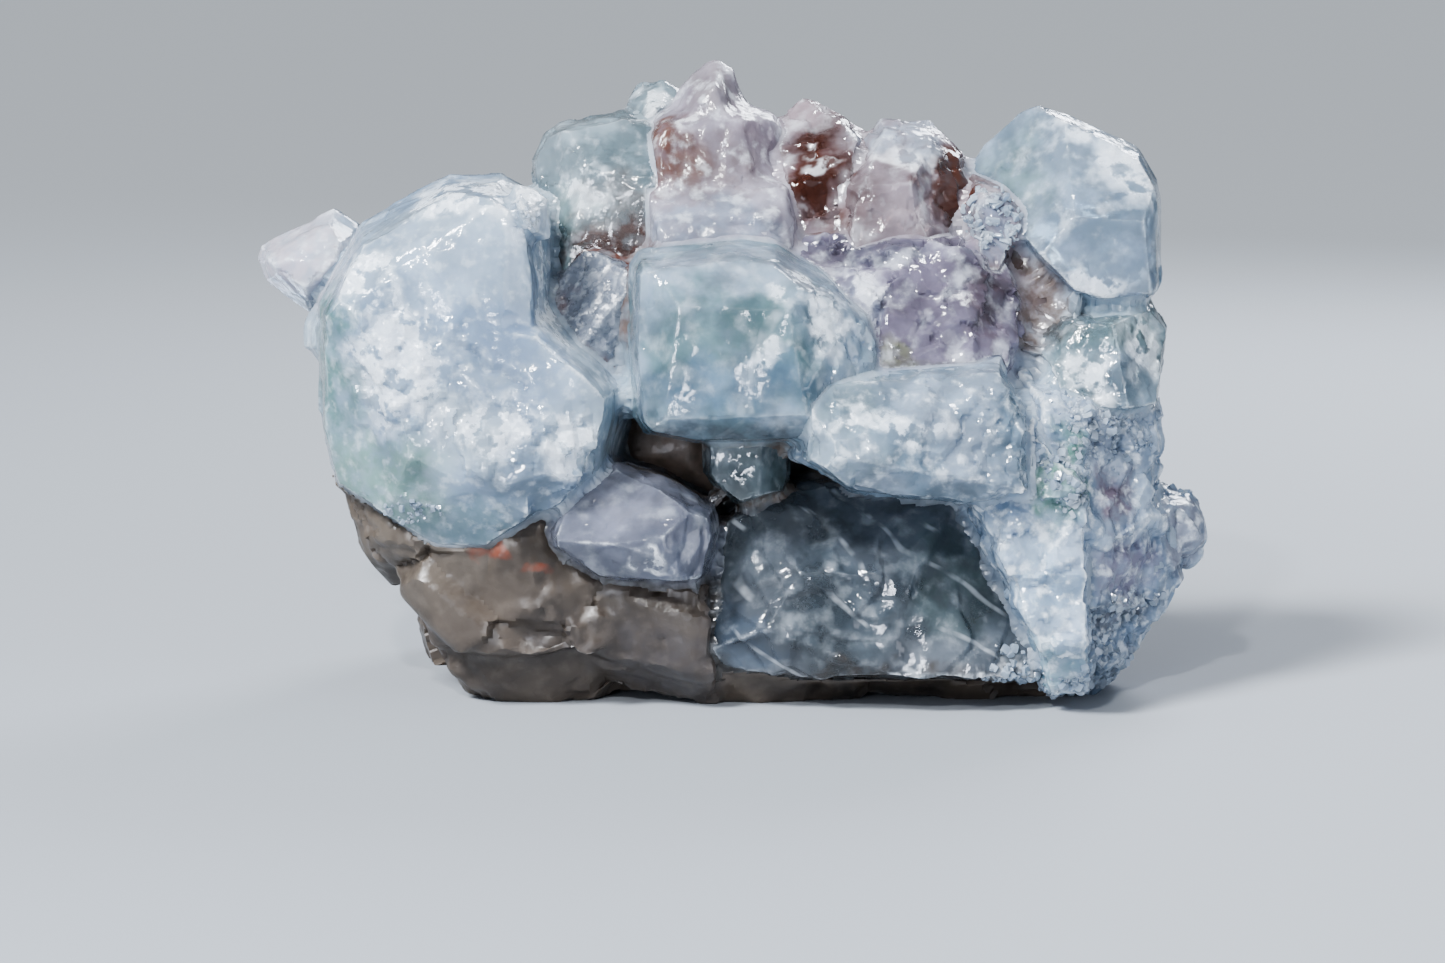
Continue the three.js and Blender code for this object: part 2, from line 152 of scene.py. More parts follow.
@dataclass(frozen=True)
class Pattern:
    """Noise with lumps `size` millimetres wide, which fades in between two of its values."""

    size: float
    detail: float
    low: float
    high: float

    def share(self, add: Adder, place: Any, none: Any = 0.0, full: Any = 1.0) -> Any:
        """Adds the pattern to a material.

        Args:
            add: The material's add_node.
            place: The socket of the place.
            none: The value where the pattern is absent.
            full: The value where it is full.

        Returns:
            The value socket that goes from `none` to `full`.
        """
        scale = 1 / (self.size * MM)
        value = add("TexNoise", {"Vector": place, "Scale": scale, "Detail": self.detail})
        return add("MapRange", {0: value, 1: self.low, 2: self.high, 3: none, 4: full}, **SMOOTH)


# ---- places on a crystal ------------------------------------------------------------------------


WHOLE = "specimen"
RIM = "rim"  # the point attribute that is 1 on a crystal's edges
TONE = "tone"  # the point attribute that holds the colour of the nearest crystal


def eased(value: np.ndarray, low: float, high: float) -> np.ndarray:
    """Carries low..high smoothly to 0..1."""
    step = np.clip((value - low) / (high - low), 0, 1)
    return step * step * (3 - 2 * step)


def box_of(node: str) -> tuple[np.ndarray, np.ndarray]:
    """The two corners of a solid's box, or of the whole specimen's, in millimetres."""
    low, high = CAD_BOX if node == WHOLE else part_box(node)
    return np.array(low) / MM, np.array(high) / MM


@dataclass(frozen=True)
class Spot:
    """A soft place on a crystal.

    `at` is its middle in fractions of the crystal's box (right, back, up) and `reach` how far it
    spreads in millimetres each way.
    """

    at: Triple
    reach: Triple

    END: ClassVar[float] = 1.25  # how many reaches away the spot ends
    FADE: ClassVar[float] = 0.6  # and over how many it fades

    def middle(self, node: str) -> np.ndarray:
        """The spot's middle in millimetres."""
        low, high = box_of(node)
        return low + np.array(self.at) * (high - low)

    def share(self, node: str, points: np.ndarray) -> np.ndarray:
        """How much each point belongs to the spot.

        Args:
            node: The crystal's name.
            points: Places in millimetres, one a row.

        Returns:
            1 well inside the reach, falling smoothly to 0 a little outside it.
        """
        away = np.linalg.norm((points - self.middle(node)) / np.array(self.reach), axis=1)
        return eased(self.END - away, 0.0, self.FADE)


@dataclass(frozen=True)
class Tint:
    """A colour that shows at a spot, at most as strongly as `strength`.

    A `deep` one also hides the milky wisps there.
    """

    spot: Spot
    colour: str
    strength: float = 0.8
    deep: bool = False


# ---- seeded noise -------------------------------------------------------------------------------


# Odd constants of a common whole-number hash, and the shifts and factors that stir its bits.
SPREADERS = (0x8DA6B343, 0xD8163841, 0xCB1AB31F, 0x9E3779B9)
STIRS = ((15, 0x2C1B3C6D), (12, 0x297A2D39), (15, 0x85EBCA6B))
ALL_BITS = 0xFFFFFFFF
LAST_SHIFT = 16
OCTAVE_SHIFT = 17.3  # cells between one octave's noise and the next one's
TOO_FAR = 9.0  # cells, further than the nearest seed ever is


def chance(cells: np.ndarray, seed: int) -> np.ndarray:
    """A repeatable random number from 0 to 1 for each whole-numbered cell.

    Args:
        cells: Whole numbers, three in the last axis.
        seed: Which of the many random fields it is.

    Returns:
        One number for each cell.
    """
    with np.errstate(over="ignore"):
        x, y, z = np.moveaxis(cells.astype(np.int64).astype(np.uint32), -1, 0)
        mix = x * np.uint32(SPREADERS[0]) ^ y * np.uint32(SPREADERS[1])
        mix ^= z * np.uint32(SPREADERS[2]) ^ np.uint32((seed * SPREADERS[3]) & ALL_BITS)
        for shift, factor in STIRS:
            mix ^= mix >> np.uint32(shift)
            mix *= np.uint32(factor)
        mix ^= mix >> np.uint32(LAST_SHIFT)
    return mix.astype(np.float64) / ALL_BITS


def cloud(points: np.ndarray, size: float, seed: int, octaves: int = 3) -> np.ndarray:
    """Smooth noise from -1 to 1.

    Args:
        points: Places in millimetres, one a row.
        size: Width of the coarsest lump in millimetres.
        seed: Which noise it is.
        octaves: How many finer copies are added, each half as strong.

    Returns:
        One value for each point.
    """
    total, weight, strength = np.zeros(len(points)), 0.0, 1.0
    for octave in range(octaves):
        place = points / size * 2**octave + OCTAVE_SHIFT * octave
        cell = np.floor(place)
        part = place - cell
        part = part * part * (3 - 2 * part)
        value = np.zeros(len(points))
        for corner in np.ndindex(2, 2, 2):
            step = np.array(corner)
            share = np.prod(np.where(step, part, 1 - part), axis=1)
            value += share * chance(cell + step, seed + octave)
        total += strength * (2 * value - 1)
        weight += strength
        strength /= 2
    return total / weight


def nearest_cells(
    points: np.ndarray, size: float, seed: int
) -> tuple[np.ndarray, np.ndarray, np.ndarray, np.ndarray, np.ndarray]:
    """The nearest and second nearest of the seeds strewn through space.

    Args:
        points: Places in millimetres, one a row.
        size: Mean distance between seeds in millimetres.
        seed: Which strewing it is.

    Returns:
        The whole-numbered cell of the nearest seed and the way from it to the point in
        millimetres, the same two of the second nearest, and how much further that one is.
    """
    place = points / size
    base = np.floor(place)
    best = np.full(len(points), TOO_FAR)
    second = best.copy()
    owner, other = base.copy(), base.copy()
    arm, other_arm = np.zeros_like(place), np.zeros_like(place)
    for corner in np.ndindex(3, 3, 3):
        cell = base + np.array(corner) - 1
        way = place - cell - np.stack([chance(cell, seed + k) for k in range(3)], axis=1)
        away = np.linalg.norm(way, axis=1)
        nearer = away < best
        next_best = (away < second) & ~nearer
        second[next_best], other[next_best] = away[next_best], cell[next_best]
        other_arm[next_best] = way[next_best]
        second[nearer], other[nearer], other_arm[nearer] = best[nearer], owner[nearer], arm[nearer]
        best[nearer], owner[nearer], arm[nearer] = away[nearer], cell[nearer], way[nearer]
    return owner, arm * size, other, other_arm * size, (second - best) * size


# ---- relief -------------------------------------------------------------------------------------


@dataclass(frozen=True)
class Relief:
    """A kind of surface shape, in millimetres outwards.

    `spots` confine it, and none means all over.
    """

    spots: tuple[Spot, ...] = ()

    def height(self, node: str, points: np.ndarray) -> np.ndarray:
        """The bare height at each point."""
        raise NotImplementedError

    def lifted(self, node: str, points: np.ndarray) -> np.ndarray:
        """The height at each point, confined to the spots.

        Args:
            node: The crystal's name.
            points: Places in millimetres.

        Returns:
            Millimetres outwards, one for each point.
        """
        made = self.height(node, points)
        if self.spots:
            made = made * np.max([spot.share(node, points) for spot in self.spots], axis=0)
        return made


@dataclass(frozen=True)
class Waviness(Relief):
    """The slow unevenness of a grown face."""

    size: float = 5.0
    depth: float = 0.12
    seed: int = 1

    def height(self, node: str, points: np.ndarray) -> np.ndarray:
        """Soft lumps of `size`, up to `depth` high."""
        return self.depth * cloud(points, self.size, self.seed)


@dataclass(frozen=True)
class GrowthSteps(Relief):
    """Flat terraces with ragged steep edges, where layers of the crystal stop."""

    size: float = 7.0
    levels: float = 5.0
    depth: float = 0.5
    seed: int = 2

    OCTAVES: ClassVar[int] = 4
    TREAD: ClassVar[float] = 0.78  # the flat share of each step

    def height(self, node: str, points: np.ndarray) -> np.ndarray:
        """Cuts noise into flat levels.

        Args:
            node: The crystal's name.
            points: Places in millimetres.

        Returns:
            Millimetres outwards, one for each point.
        """
        value = (cloud(points, self.size, self.seed, self.OCTAVES) + 1) / 2 * self.levels
        floor = np.floor(value)
        stair = floor + eased(value - floor, self.TREAD, 1.0)
        return self.depth * (stair / self.levels - 0.5) * 2


@dataclass(frozen=True)
class BrokenFacets(Relief):
    """Small flat facets that tilt every way, as on a broken or mosaic face."""

    cell: float = 1.6
    slope: float = 0.3
    step: float = 0.12
    seam: float = 0.7
    seed: int = 3

    TILT_SEED: ClassVar[int] = 10  # what is added to the seed for the tilts
    STEP_SEED: ClassVar[int] = 20  # and for the steps

    def plane(self, cell: np.ndarray, arm: np.ndarray) -> np.ndarray:
        """The height of each cell's own tilted plane.

        Args:
            cell: The whole-numbered cells.
            arm: The way from each cell's seed to the point, in millimetres.

        Returns:
            Millimetres outwards, one for each point.
        """
        seed = self.seed + self.TILT_SEED
        tilt = np.stack([chance(cell, seed + k) for k in range(3)], axis=1) - 0.5
        step = chance(cell, self.seed + self.STEP_SEED) - 0.5
        return 2 * self.slope * (arm * tilt).sum(axis=1) + 2 * self.step * step

    def height(self, node: str, points: np.ndarray) -> np.ndarray:
        """Tilts a plane in each cell, which slants over into the next one's at the seam.

        Args:
            node: The crystal's name.
            points: Places in millimetres.

        Returns:
            Millimetres outwards, one for each point.
        """
        owner, arm, other, other_arm, gap = nearest_cells(points, self.cell, self.seed)
        share = 0.5 * (1 - eased(gap, 0.0, self.seam))
        return (1 - share) * self.plane(owner, arm) + share * self.plane(other, other_arm)


@dataclass(frozen=True)
class Striae(Relief):
    """Fine grooves that run one way, as on a prism face of heulandite."""

    along: Triple = (0, 0, 1)
    spacing: float = 0.9
    length: float = 9.0
    depth: float = 0.06
    seed: int = 4

    def height(self, node: str, points: np.ndarray) -> np.ndarray:
        """Stretches noise along the grooves.

        Args:
            node: The crystal's name.
            points: Places in millimetres.

        Returns:
            Millimetres outwards, one for each point.
        """
        run = np.array(self.along) / np.linalg.norm(self.along)
        drawn = points - np.outer(points @ run, run) * (1 - self.spacing / self.length)
        return self.depth * cloud(drawn, self.spacing, self.seed, 2)


@dataclass(frozen=True)
class ShellFracture(Relief):
    """Curved ripples round the point where a glassy break began."""

    start: Triple = (0.5, 0.0, 0.5)
    spacing: float = 3.0
    depth: float = 0.15
    seed: int = 5

    WARP: ClassVar[float] = 0.9  # ripples by which the rings stray
    WARP_SIZE: ClassVar[float] = 6.0
    CREST: ClassVar[float] = 0.8  # the share of a ripple that rises gently

    def height(self, node: str, points: np.ndarray) -> np.ndarray:
        """Makes warped rings with one steep and one gentle side.

        Args:
            node: The crystal's name.
            points: Places in millimetres.

        Returns:
            Millimetres outwards, one for each point.
        """
        away = np.linalg.norm(points - Spot(self.start, (1, 1, 1)).middle(node), axis=1)
        phase = away / self.spacing + self.WARP * cloud(points, self.WARP_SIZE, self.seed, 2)
        part = phase - np.floor(phase)
        rise, fall = eased(part, 0.0, self.CREST), 1 - eased(part, self.CREST, 1.0)
        return self.depth * (2 * rise * fall - 1)


@dataclass(frozen=True)
class Groove(Relief):
    """One cleft from `start` to `end`, in fractions of the box."""

    start: Triple = (0, 0, 0)
    end: Triple = (1, 0, 1)
    width: float = 0.6
    depth: float = 0.5

    BEND: ClassVar[float] = 0.7  # how far the line strays, in millimetres
    BEND_SIZE: ClassVar[float] = 2.5
    BEND_SEED: ClassVar[int] = 77

    def height(self, node: str, points: np.ndarray) -> np.ndarray:
        """Hollows out the line, which bends a little and fades at its ends.

        Args:
            node: The crystal's name.
            points: Places in millimetres.

        Returns:
            Millimetres outwards, one for each point.
        """
        first = Spot(self.start, (1, 1, 1)).middle(node)
        way = Spot(self.end, (1, 1, 1)).middle(node) - first
        stray = self.BEND * cloud(points, self.BEND_SIZE, self.BEND_SEED, 2)
        bent = points + stray[:, None] - first
        share = np.clip(bent @ way / (way @ way), 0, 1)
        away = np.linalg.norm(bent - share[:, None] * way, axis=1)
        return -self.depth * np.exp(-((away / self.width) ** 2))


@dataclass(frozen=True)
class Chips(Relief):
    """Nicks along the sharp edges. The caller confines them to the edges."""

    size: float = 1.8
    depth: float = 0.3
    seed: int = 6

    NICKED: ClassVar[tuple[float, float]] = (0.05, 0.45)  # the noise that makes a nick

    def height(self, node: str, points: np.ndarray) -> np.ndarray:
        """How deep a nick would be at each point, were it on an edge."""
        return -self.depth * eased(cloud(points, self.size, self.seed, 2), *self.NICKED)


# ---- meshes -------------------------------------------------------------------------------------


PULL = 0.5  # how far a point moves towards its neighbours' middle in one round of relaxing

def select_only(*objects: bpy.types.Object) -> None:
    """Leaves just these objects selected, the first of them active.

    Args:
        *objects: The objects.
    """
    bpy.ops.object.select_all(action="DESELECT")
    for each in objects:
        each.select_set(True)
    bpy.context.view_layer.objects.active = objects[0]


def applied(piece: bpy.types.Object, kind: str, **settings: Any) -> None:
    """Adds a modifier to a piece and applies it.

    Args:
        piece: The object that is shaped.
        kind: The modifier's type name.
        **settings: Its properties.
    """
    select_only(piece)
    modifier = piece.modifiers.new(kind.title(), kind)
    for name, value in settings.items():
        setattr(modifier, name, value)
    bpy.ops.object.modifier_apply(modifier=modifier.name)


def read_points(mesh: bpy.types.Mesh, what: str = "co") -> np.ndarray:
    """Reads a mesh's vertices.

    Args:
        mesh: The mesh.
        what: "co" for their places or "normal" for their normals.

    Returns:
        One row for each vertex.
    """
    values = np.empty(len(mesh.vertices) * 3, np.float32)
    mesh.vertices.foreach_get(what, values)
    return values.reshape(-1, 3).astype(np.float64)


def write_points(mesh: bpy.types.Mesh, points: np.ndarray) -> None:
    """Puts a mesh's vertices at new places."""
    mesh.vertices.foreach_set("co", points.astype(np.float32).ravel())
    mesh.update()


def above_floor(points: np.ndarray) -> np.ndarray:
    """The points, none of them lower than what the specimen rests on."""
    return np.column_stack([points[:, :2], np.maximum(points[:, 2], 0.0)])


def relaxed(mesh: bpy.types.Mesh, points: np.ndarray, rounds: int) -> np.ndarray:
    """Moves each point towards the middle of its neighbours, several times.

    Args:
        mesh: The mesh whose edges say which points are neighbours.
        points: Their places.
        rounds: How many times.

    Returns:
        The new places.
    """
    edges = np.empty(len(mesh.edges) * 2, np.int32)
    mesh.edges.foreach_get("vertices", edges)
    first, second = edges.reshape(-1, 2).T
    both, other = np.concatenate([first, second]), np.concatenate([second, first])
    count = np.maximum(np.bincount(both, minlength=len(points)), 1)
    for _ in range(rounds):
        middle = np.stack(
            [np.bincount(both, points[other, k], len(points)) / count for k in range(3)], axis=1
        )
        points = points + PULL * (middle - points)
    return points


def copy_of_solid(node: str, name: str) -> bpy.types.Object:
    """A free copy of a solid, in millimetres, with its loose triangles merged.

    Args:
        node: The solid's name.
        name: The new piece's name.

    Returns:
        The new object.
    """
    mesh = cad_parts[node].data.copy()
    mesh.name = name
    mesh.materials.clear()
    mesh.transform(Matrix.Scale(1 / MM, 4))
    piece = bpy.data.objects.new(name, mesh)
    bpy.context.scene.collection.objects.link(piece)
    select_only(piece)
    bpy.ops.object.mode_set(mode="EDIT")
    bpy.ops.mesh.select_all(action="SELECT")
    bpy.ops.mesh.remove_doubles(threshold=WELD)
    bpy.ops.object.mode_set(mode="OBJECT")
    return piece


def surface_of(nodes: Sequence[str]) -> tuple[BVHTree, list[str]]:
    """The surfaces of several solids, in millimetres, to measure distances to.

    Args:
        nodes: The solids' names.

    Returns:
        The surfaces, and the solid that each of their faces belongs to.
    """
    corners: list[Vector] = []
    faces: list[tuple[int, ...]] = []
    owners: list[str] = []
    for name in nodes:
        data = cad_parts[name].data
        start = len(corners)
        corners += [v.co / MM for v in data.vertices]
        faces += [tuple(start + i for i in p.vertices) for p in data.polygons]
        owners += [name] * len(data.polygons)
    return BVHTree.FromPolygons(corners, faces), owners


def joined_as(name: str, parts: Sequence[bpy.types.Object]) -> bpy.types.Object:
    """Joins several objects into one.

    Args:
        name: The new object's name.
        parts: The objects, which are used up.

    Returns:
        The new object, selected and active.
    """
    select_only(*parts)
    bpy.ops.object.join()
    piece = bpy.context.active_object
    piece.name = piece.data.name = name
    return piece


def smoothed(piece: bpy.types.Object, angle: float) -> None:
    """Shades a piece smooth, except over edges sharper than `angle` degrees."""
    select_only(piece)
    bpy.ops.object.shade_smooth_by_angle(angle=math.radians(angle))


def coat(piece: bpy.types.Object, material: bpy.types.Material) -> None:
    """Makes a material the only one that a piece has."""
    piece.data.materials.clear()
    piece.data.materials.append(material)


def drop_faces(piece: bpy.types.Object, dropped: np.ndarray) -> None:
    """Deletes some faces of a piece.

    Args:
        piece: The piece.
        dropped: Whether each face goes.
    """
    mesh = piece.data
    bpy.context.tool_settings.mesh_select_mode = (False, False, True)
    mesh.vertices.foreach_set("select", np.zeros(len(mesh.vertices), bool))
    mesh.edges.foreach_set("select", np.zeros(len(mesh.edges), bool))
    mesh.polygons.foreach_set("select", dropped)
    select_only(piece)
    bpy.ops.object.mode_set(mode="EDIT")
    bpy.ops.mesh.delete(type="FACE")
    bpy.ops.object.mode_set(mode="OBJECT")


def clear_room(node: str, points: np.ndarray, most: float) -> np.ndarray:
    """How far each point is from the nearest other solid.

    Args:
        node: The crystal that the points belong to.
        points: Places in millimetres.
        most: The furthest that a solid is looked for.

    Returns:
        Millimetres, at most `most`, one for each point.
    """
    tree, _ = surface_of([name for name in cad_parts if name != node])
    room = np.full(len(points), most)
    for index, point in enumerate(points):
        found = tree.find_nearest(point, most)
        if found[3] is not None:
            room[index] = found[3]
    return room


def finished(piece: bpy.types.Object, slot: str, nodes: Sequence[str] = ()) -> bpy.types.Object:
    """Brings a piece from millimetres to metres, and ties it to the frame.

    Args:
        piece: The piece, shaped in millimetres.
        slot: The record's material slot; not used.
        nodes: The solids that it stands for.

    Returns:
        The same piece.
    """
    piece.data.transform(Matrix.Scale(MM, 4))
    piece.data.update()
    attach(piece, BODY)
    if nodes:
        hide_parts(*nodes)
    LOG.info("%s: %d faces", piece.name, len(piece.data.polygons))
    return piece


# ---- finishes -----------------------------------------------------------------------------------


@dataclass(frozen=True)
class Canvas:
    """What a finish is painted on: the material's add_node, its crystal and two places.

    `bent` is the place after it has wandered a few millimetres, so that no stain has a round edge.
    """

    add: Adder
    node: str
    place: Any
    bent: Any

    FADE: ClassVar[tuple[float, float]] = (0.55, 1.25)  # where a spot starts and ends to fade

    def spot_share(self, spot: Spot) -> Any:
        """Adds a soft spot.

        Args:
            spot: Where it is on the crystal.

        Returns:
            The value socket that is 1 in the spot and 0 outside it.
        """
        middle = tuple(spot.middle(self.node) * MM)
        scale = tuple(1 / (MM * reach) for reach in spot.reach)
        way = self.add("VectorMath", {0: self.bent, 1: middle}, operation="SUBTRACT")
        drawn = self.add("VectorMath", {0: way, 1: scale}, operation="MULTIPLY")
        away = self.add("VectorMath", {0: drawn}, 1, operation="LENGTH")
        full, none = self.FADE
        return self.add("MapRange", {0: away, 1: full, 2: none, 3: 1.0, 4: 0.0}, **SMOOTH)


@dataclass(frozen=True)
class MineralFinish:
    """How one mineral surface looks.

    Lengths are in millimetres. `clarity` and `frost_clarity` are how much light passes where the
    face is clean and where it is frosted; `gloss` and `frost_gloss` are the roughness there.
    `wisp` is the strength of soft milky clouds, `veil` that of thin lines along `veil_run` and
    `rim` that of the bruises along the crystal's edges, all in the colour `haze`. A `toned`
    finish takes its body colour from the mesh.
    """

    name: str
    body: str
    cloudy: str
    clarity: float
    gloss: float
    frost_clarity: float = 0.15
    frost_gloss: float = 0.3
    milk: float = 0.5
    milk_depth: float = 3.0
    stain: str = "#ffffff"
    stain_density: float = 0.0
    ior: float = IOR_APOPHYLLITE
    cloud_size: float = 7.0
    wisp: float = 0.4
    wisp_size: float = 2.8
    veil: float = 0.0
    veil_size: float = 3.2
    veil_run: Triple = (0.8, 0.1, -0.6)
    rim: float = 0.7
    haze: str = "#eaf1f7"
    toned: bool = False
    facet: float = 0.45
    facet_tilt: float = 0.04
    frost_tilt: float = 0.35
    tints: tuple[Tint, ...] = ()
    frost: tuple[Spot, ...] = ()

    CLOUDS: ClassVar[Pattern] = Pattern(7.0, 3.0, 0.38, 0.62)
    HEART: ClassVar[Pattern] = Pattern(4.9, 4.0, 0.40, 0.66)
    TINT_GRAIN: ClassVar[Pattern] = Pattern(1.6, 4.0, 0.30, 0.62)
    WISPS: ClassVar[Pattern] = Pattern(2.8, 5.0, 0.48, 0.72)
    VEIL_BREAKS: ClassVar[Pattern] = Pattern(3.6, 2.0, 0.46, 0.66)
    BRUISES: ClassVar[Pattern] = Pattern(1.3, 3.0, 0.40, 0.60)
    FROST: ClassVar[Pattern] = Pattern(2.4, 5.0, 0.42, 0.50)
    TINT_LEAST: ClassVar[float] = 0.45  # what is left of a tint between its grains, for stains and painted light and shade alike
    PATCH_LEAST: ClassVar[float] = 0.1  # and of a bruise or of frost between their lumps

    WANDER_SIZE: ClassVar[float] = 4.5  # lumps of the noise that bends the stains' edges
    WANDER_REACH: ClassVar[float] = 9.0  # twice how far it moves them at most
    TONE_PALE: ClassVar[float] = 0.3  # how pale the clouds of a toned finish are
    TONE_MILK: ClassVar[float] = 0.4  # and how milky its haze is
    VEIL_LENGTH: ClassVar[float] = 2.2  # how many times longer than wide the veil's folds are
    VEIL_LINE: ClassVar[tuple[float, float]] = (0.90, 1.0)  # the crest of the wave that shows
    DEEP_FROM: ClassVar[float] = 0.2  # where a deep stain starts to hide the haze
    DEEP_HAZE: ClassVar[float] = 0.12  # and what is left of it there
    HAZY_CLARITY: ClassVar[float] = 0.25  # what is left of the clarity in full haze
    CLOUD_CLARITY: ClassVar[float] = 0.6  # and in a cloud
    HEART_SIZE: ClassVar[float] = 0.7  # the clouds' clear places against the clouds
    FROST_COLOUR: ClassVar[str] = "#f1f5f9"
    FROST_WHITE: ClassVar[tuple[float, float]] = (0.7, 0.8)  # how white it is, and how strong
    FLASHING: ClassVar[tuple[float, float]] = (0.68, 0.74)  # one facet in ten is smooth enough
    FLASH_GLOSS: ClassVar[float] = 0.05
    FLASHES_PER_TILT: ClassVar[float] = 4.0  # how a tilted face flashes even without frost
    ETCH_SIZE: ClassVar[float] = 0.7  # the fine pits of an etched face
    ETCH_DEPTH: ClassVar[float] = 0.1
    ETCH_STRENGTH: ClassVar[float] = 0.4

    def body_with_stains_and_painted_shading(self, canvas: Canvas, dull: Any, pale: Any) -> tuple[Any, Any]:
        """Paints the crystal's own colour, its stains, and the painted light and shade that some
        finishes' tints carry.

        Args:
            canvas: What is painted on.
            dull: The colour of the body.
            pale: The colour of its clouds.

        Returns:
            The colour socket, and the value socket that is 1 in the deep stains.
        """
        add = canvas.add
        clouds = replace(self.CLOUDS, size=self.cloud_size).share(add, canvas.place)
        colour = add("Mix", {0: clouds, 6: dull, 7: pale}, **COLOURS)
        deep: Any = 0.0
        grain = self.TINT_GRAIN.share(add, canvas.place, self.TINT_LEAST) if self.tints else 1.0
        for tint in self.tints:
            share = canvas.spot_share(tint.spot)
            if tint.deep:
                deep = add("Math", {0: deep, 1: share}, **MOST)
            else:
                share = add("Math", {0: share, 1: grain}, **TIMES)
            share = add("Math", {0: share, 1: tint.strength}, **TIMES)
            colour = add("Mix", {0: share, 6: colour, 7: linear(tint.colour)}, **COLOURS)
        return colour, deep

    def veils(self, canvas: Canvas, haze: Any) -> Any:
        """Adds thin broken lines, as a healed cleavage shows them, to the haze.

        Args:
            canvas: What is painted on.
            haze: The value socket of the haze so far.

        Returns:
            The value socket of the haze with the lines.
        """
        add = canvas.add
        turn = Vector(self.veil_run).to_track_quat("Z", "Y").to_euler()
        folds = {"Rotation": tuple(turn), "Scale": (1.0, 1.0, self.VEIL_LENGTH)}
        drawn = add("Mapping", {"Vector": canvas.place, **folds}, vector_type="TEXTURE")
        scale = WAVE_UNIT / (self.veil_size * MM)
        wave = {"Vector": drawn, "Scale": scale, "Distortion": 9.0, "Detail": 2.0}
        streak = add("TexWave", wave, "Fac", bands_direction="Y")
        low, high = self.VEIL_LINE
        lines = add("MapRange", {0: streak, 1: low, 2: high, 3: 0.0, 4: self.veil}, **SMOOTH)
        breaks = self.VEIL_BREAKS.share(add, canvas.place)
        lines = add("Math", {0: lines, 1: breaks}, **TIMES)
        return add("Math", {0: haze, 1: lines}, **MOST)

    def milkiness(self, canvas: Canvas, deep: Any) -> Any:
        """Adds what clouds the crystal just under its skin.

        Args:
            canvas: What is painted on.
            deep: The value socket of the deep stains, which hide the haze.

        Returns:
            The value socket of the haze.
        """
        add, place = canvas.add, canvas.place
        haze = replace(self.WISPS, size=self.wisp_size).share(add, place, 0.0, self.wisp)
        if self.veil:
            haze = self.veils(canvas, haze)
        rim = add("Attribute", {}, "Fac", attribute_name=RIM)
        bruises = self.BRUISES.share(add, place, self.PATCH_LEAST, self.rim)
        rim = add("Math", {0: rim, 1: bruises}, **TIMES)
        haze = add("Math", {0: haze, 1: rim}, **MOST)
        hidden = {0: deep, 1: self.DEEP_FROM, 2: 1.0, 3: 1.0, 4: self.DEEP_HAZE}
        left = add("MapRange", hidden, **SMOOTH)
        return add("Math", {0: haze, 1: left}, **TIMES)

    def frosting(self, canvas: Canvas) -> Any:
        """Adds the frosted places.

        Args:
            canvas: What is painted on.

        Returns:
            The value socket that is 1 where the face is frosted, or 0 if nowhere is.
        """
        if not self.frost:
            return 0.0
        patches: Any = 0.0
        for spot in self.frost:
            patches = canvas.add("Math", {0: patches, 1: canvas.spot_share(spot)}, **MOST)
        broken = self.FROST.share(canvas.add, canvas.place, self.PATCH_LEAST)
        return canvas.add("Math", {0: patches, 1: broken}, **TIMES)

    def glints(self, canvas: Canvas, patches: Any) -> tuple[Any, Any]:
        """Makes each tiny facet lean its own way, so that the face glints point by point.

        Args:
            canvas: What is painted on.
            patches: The value socket of the frosted places.

        Returns:
            The value socket of the roughness, and the vector socket of the normal.
        """
        add, place = canvas.add, canvas.place
        cells = {"Vector": place, "Scale": 1 / (self.facet * MM), "Randomness": 1.0}
        cells = add("TexVoronoi", cells, "Color")
        gloss = {0: patches, 1: 0.0, 2: 1.0, 3: self.gloss, 4: self.frost_gloss}
        rough = add("MapRange", gloss, **SMOOTH)
        low, high = self.FLASHING
        flash = add("MapRange", {0: cells, 1: low, 2: high, 3: 0.0, 4: 1.0}, **SMOOTH)
        broken_up = min(self.FLASHES_PER_TILT * self.facet_tilt, 1.0)
        broken_up = add("Math", {0: patches, 1: broken_up}, **MOST)
        flash = add("Math", {0: broken_up, 1: flash}, **TIMES)
        rough = add("Mix", {0: flash, 2: rough, 3: self.FLASH_GLOSS}, data_type="FLOAT")
        lean = add("VectorMath", {0: cells, 1: HALF}, operation="SUBTRACT")
        tilts = {0: patches, 1: 0.0, 2: 1.0, 3: self.facet_tilt, 4: self.frost_tilt}
        tilt = add("MapRange", tilts, **SMOOTH)
        leant = add("VectorMath", {0: lean, "Scale": tilt}, operation="SCALE")
        face = add("NewGeometry", {}, "Normal")
        normal = add("VectorMath", {0: face, 1: leant}, operation="ADD")
        normal = add("VectorMath", {0: normal}, operation="NORMALIZE")
        pits = add("TexNoise", {"Vector": place, "Scale": 1 / (self.ETCH_SIZE * MM), "Detail": 4.0})
        etch = {"Height": pits, "Strength": self.ETCH_STRENGTH, "Distance": self.ETCH_DEPTH * MM}
        return rough, add("Bump", {**etch, "Normal": normal})

    def made(self, node: str) -> bpy.types.Material:
        """Builds the material for one crystal.

        Args:
            node: The crystal whose box the spots are placed in.

        Returns:
            The material.
        """
        material, add = blank_material(f"{self.name}_{node}")
        place = add("TexCoord", {}, "Object")
        scale = 1 / (self.WANDER_SIZE * MM)
        wander = add("TexNoise", {"Vector": place, "Scale": scale, "Detail": 3.0}, "Color")
        wander = add("VectorMath", {0: wander, 1: HALF}, operation="SUBTRACT")
        reach = (self.WANDER_REACH * MM,) * 3
        bent = add("VectorMath", {0: wander, 1: reach, 2: place}, operation="MULTIPLY_ADD")
        canvas = Canvas(add, node, place, bent)

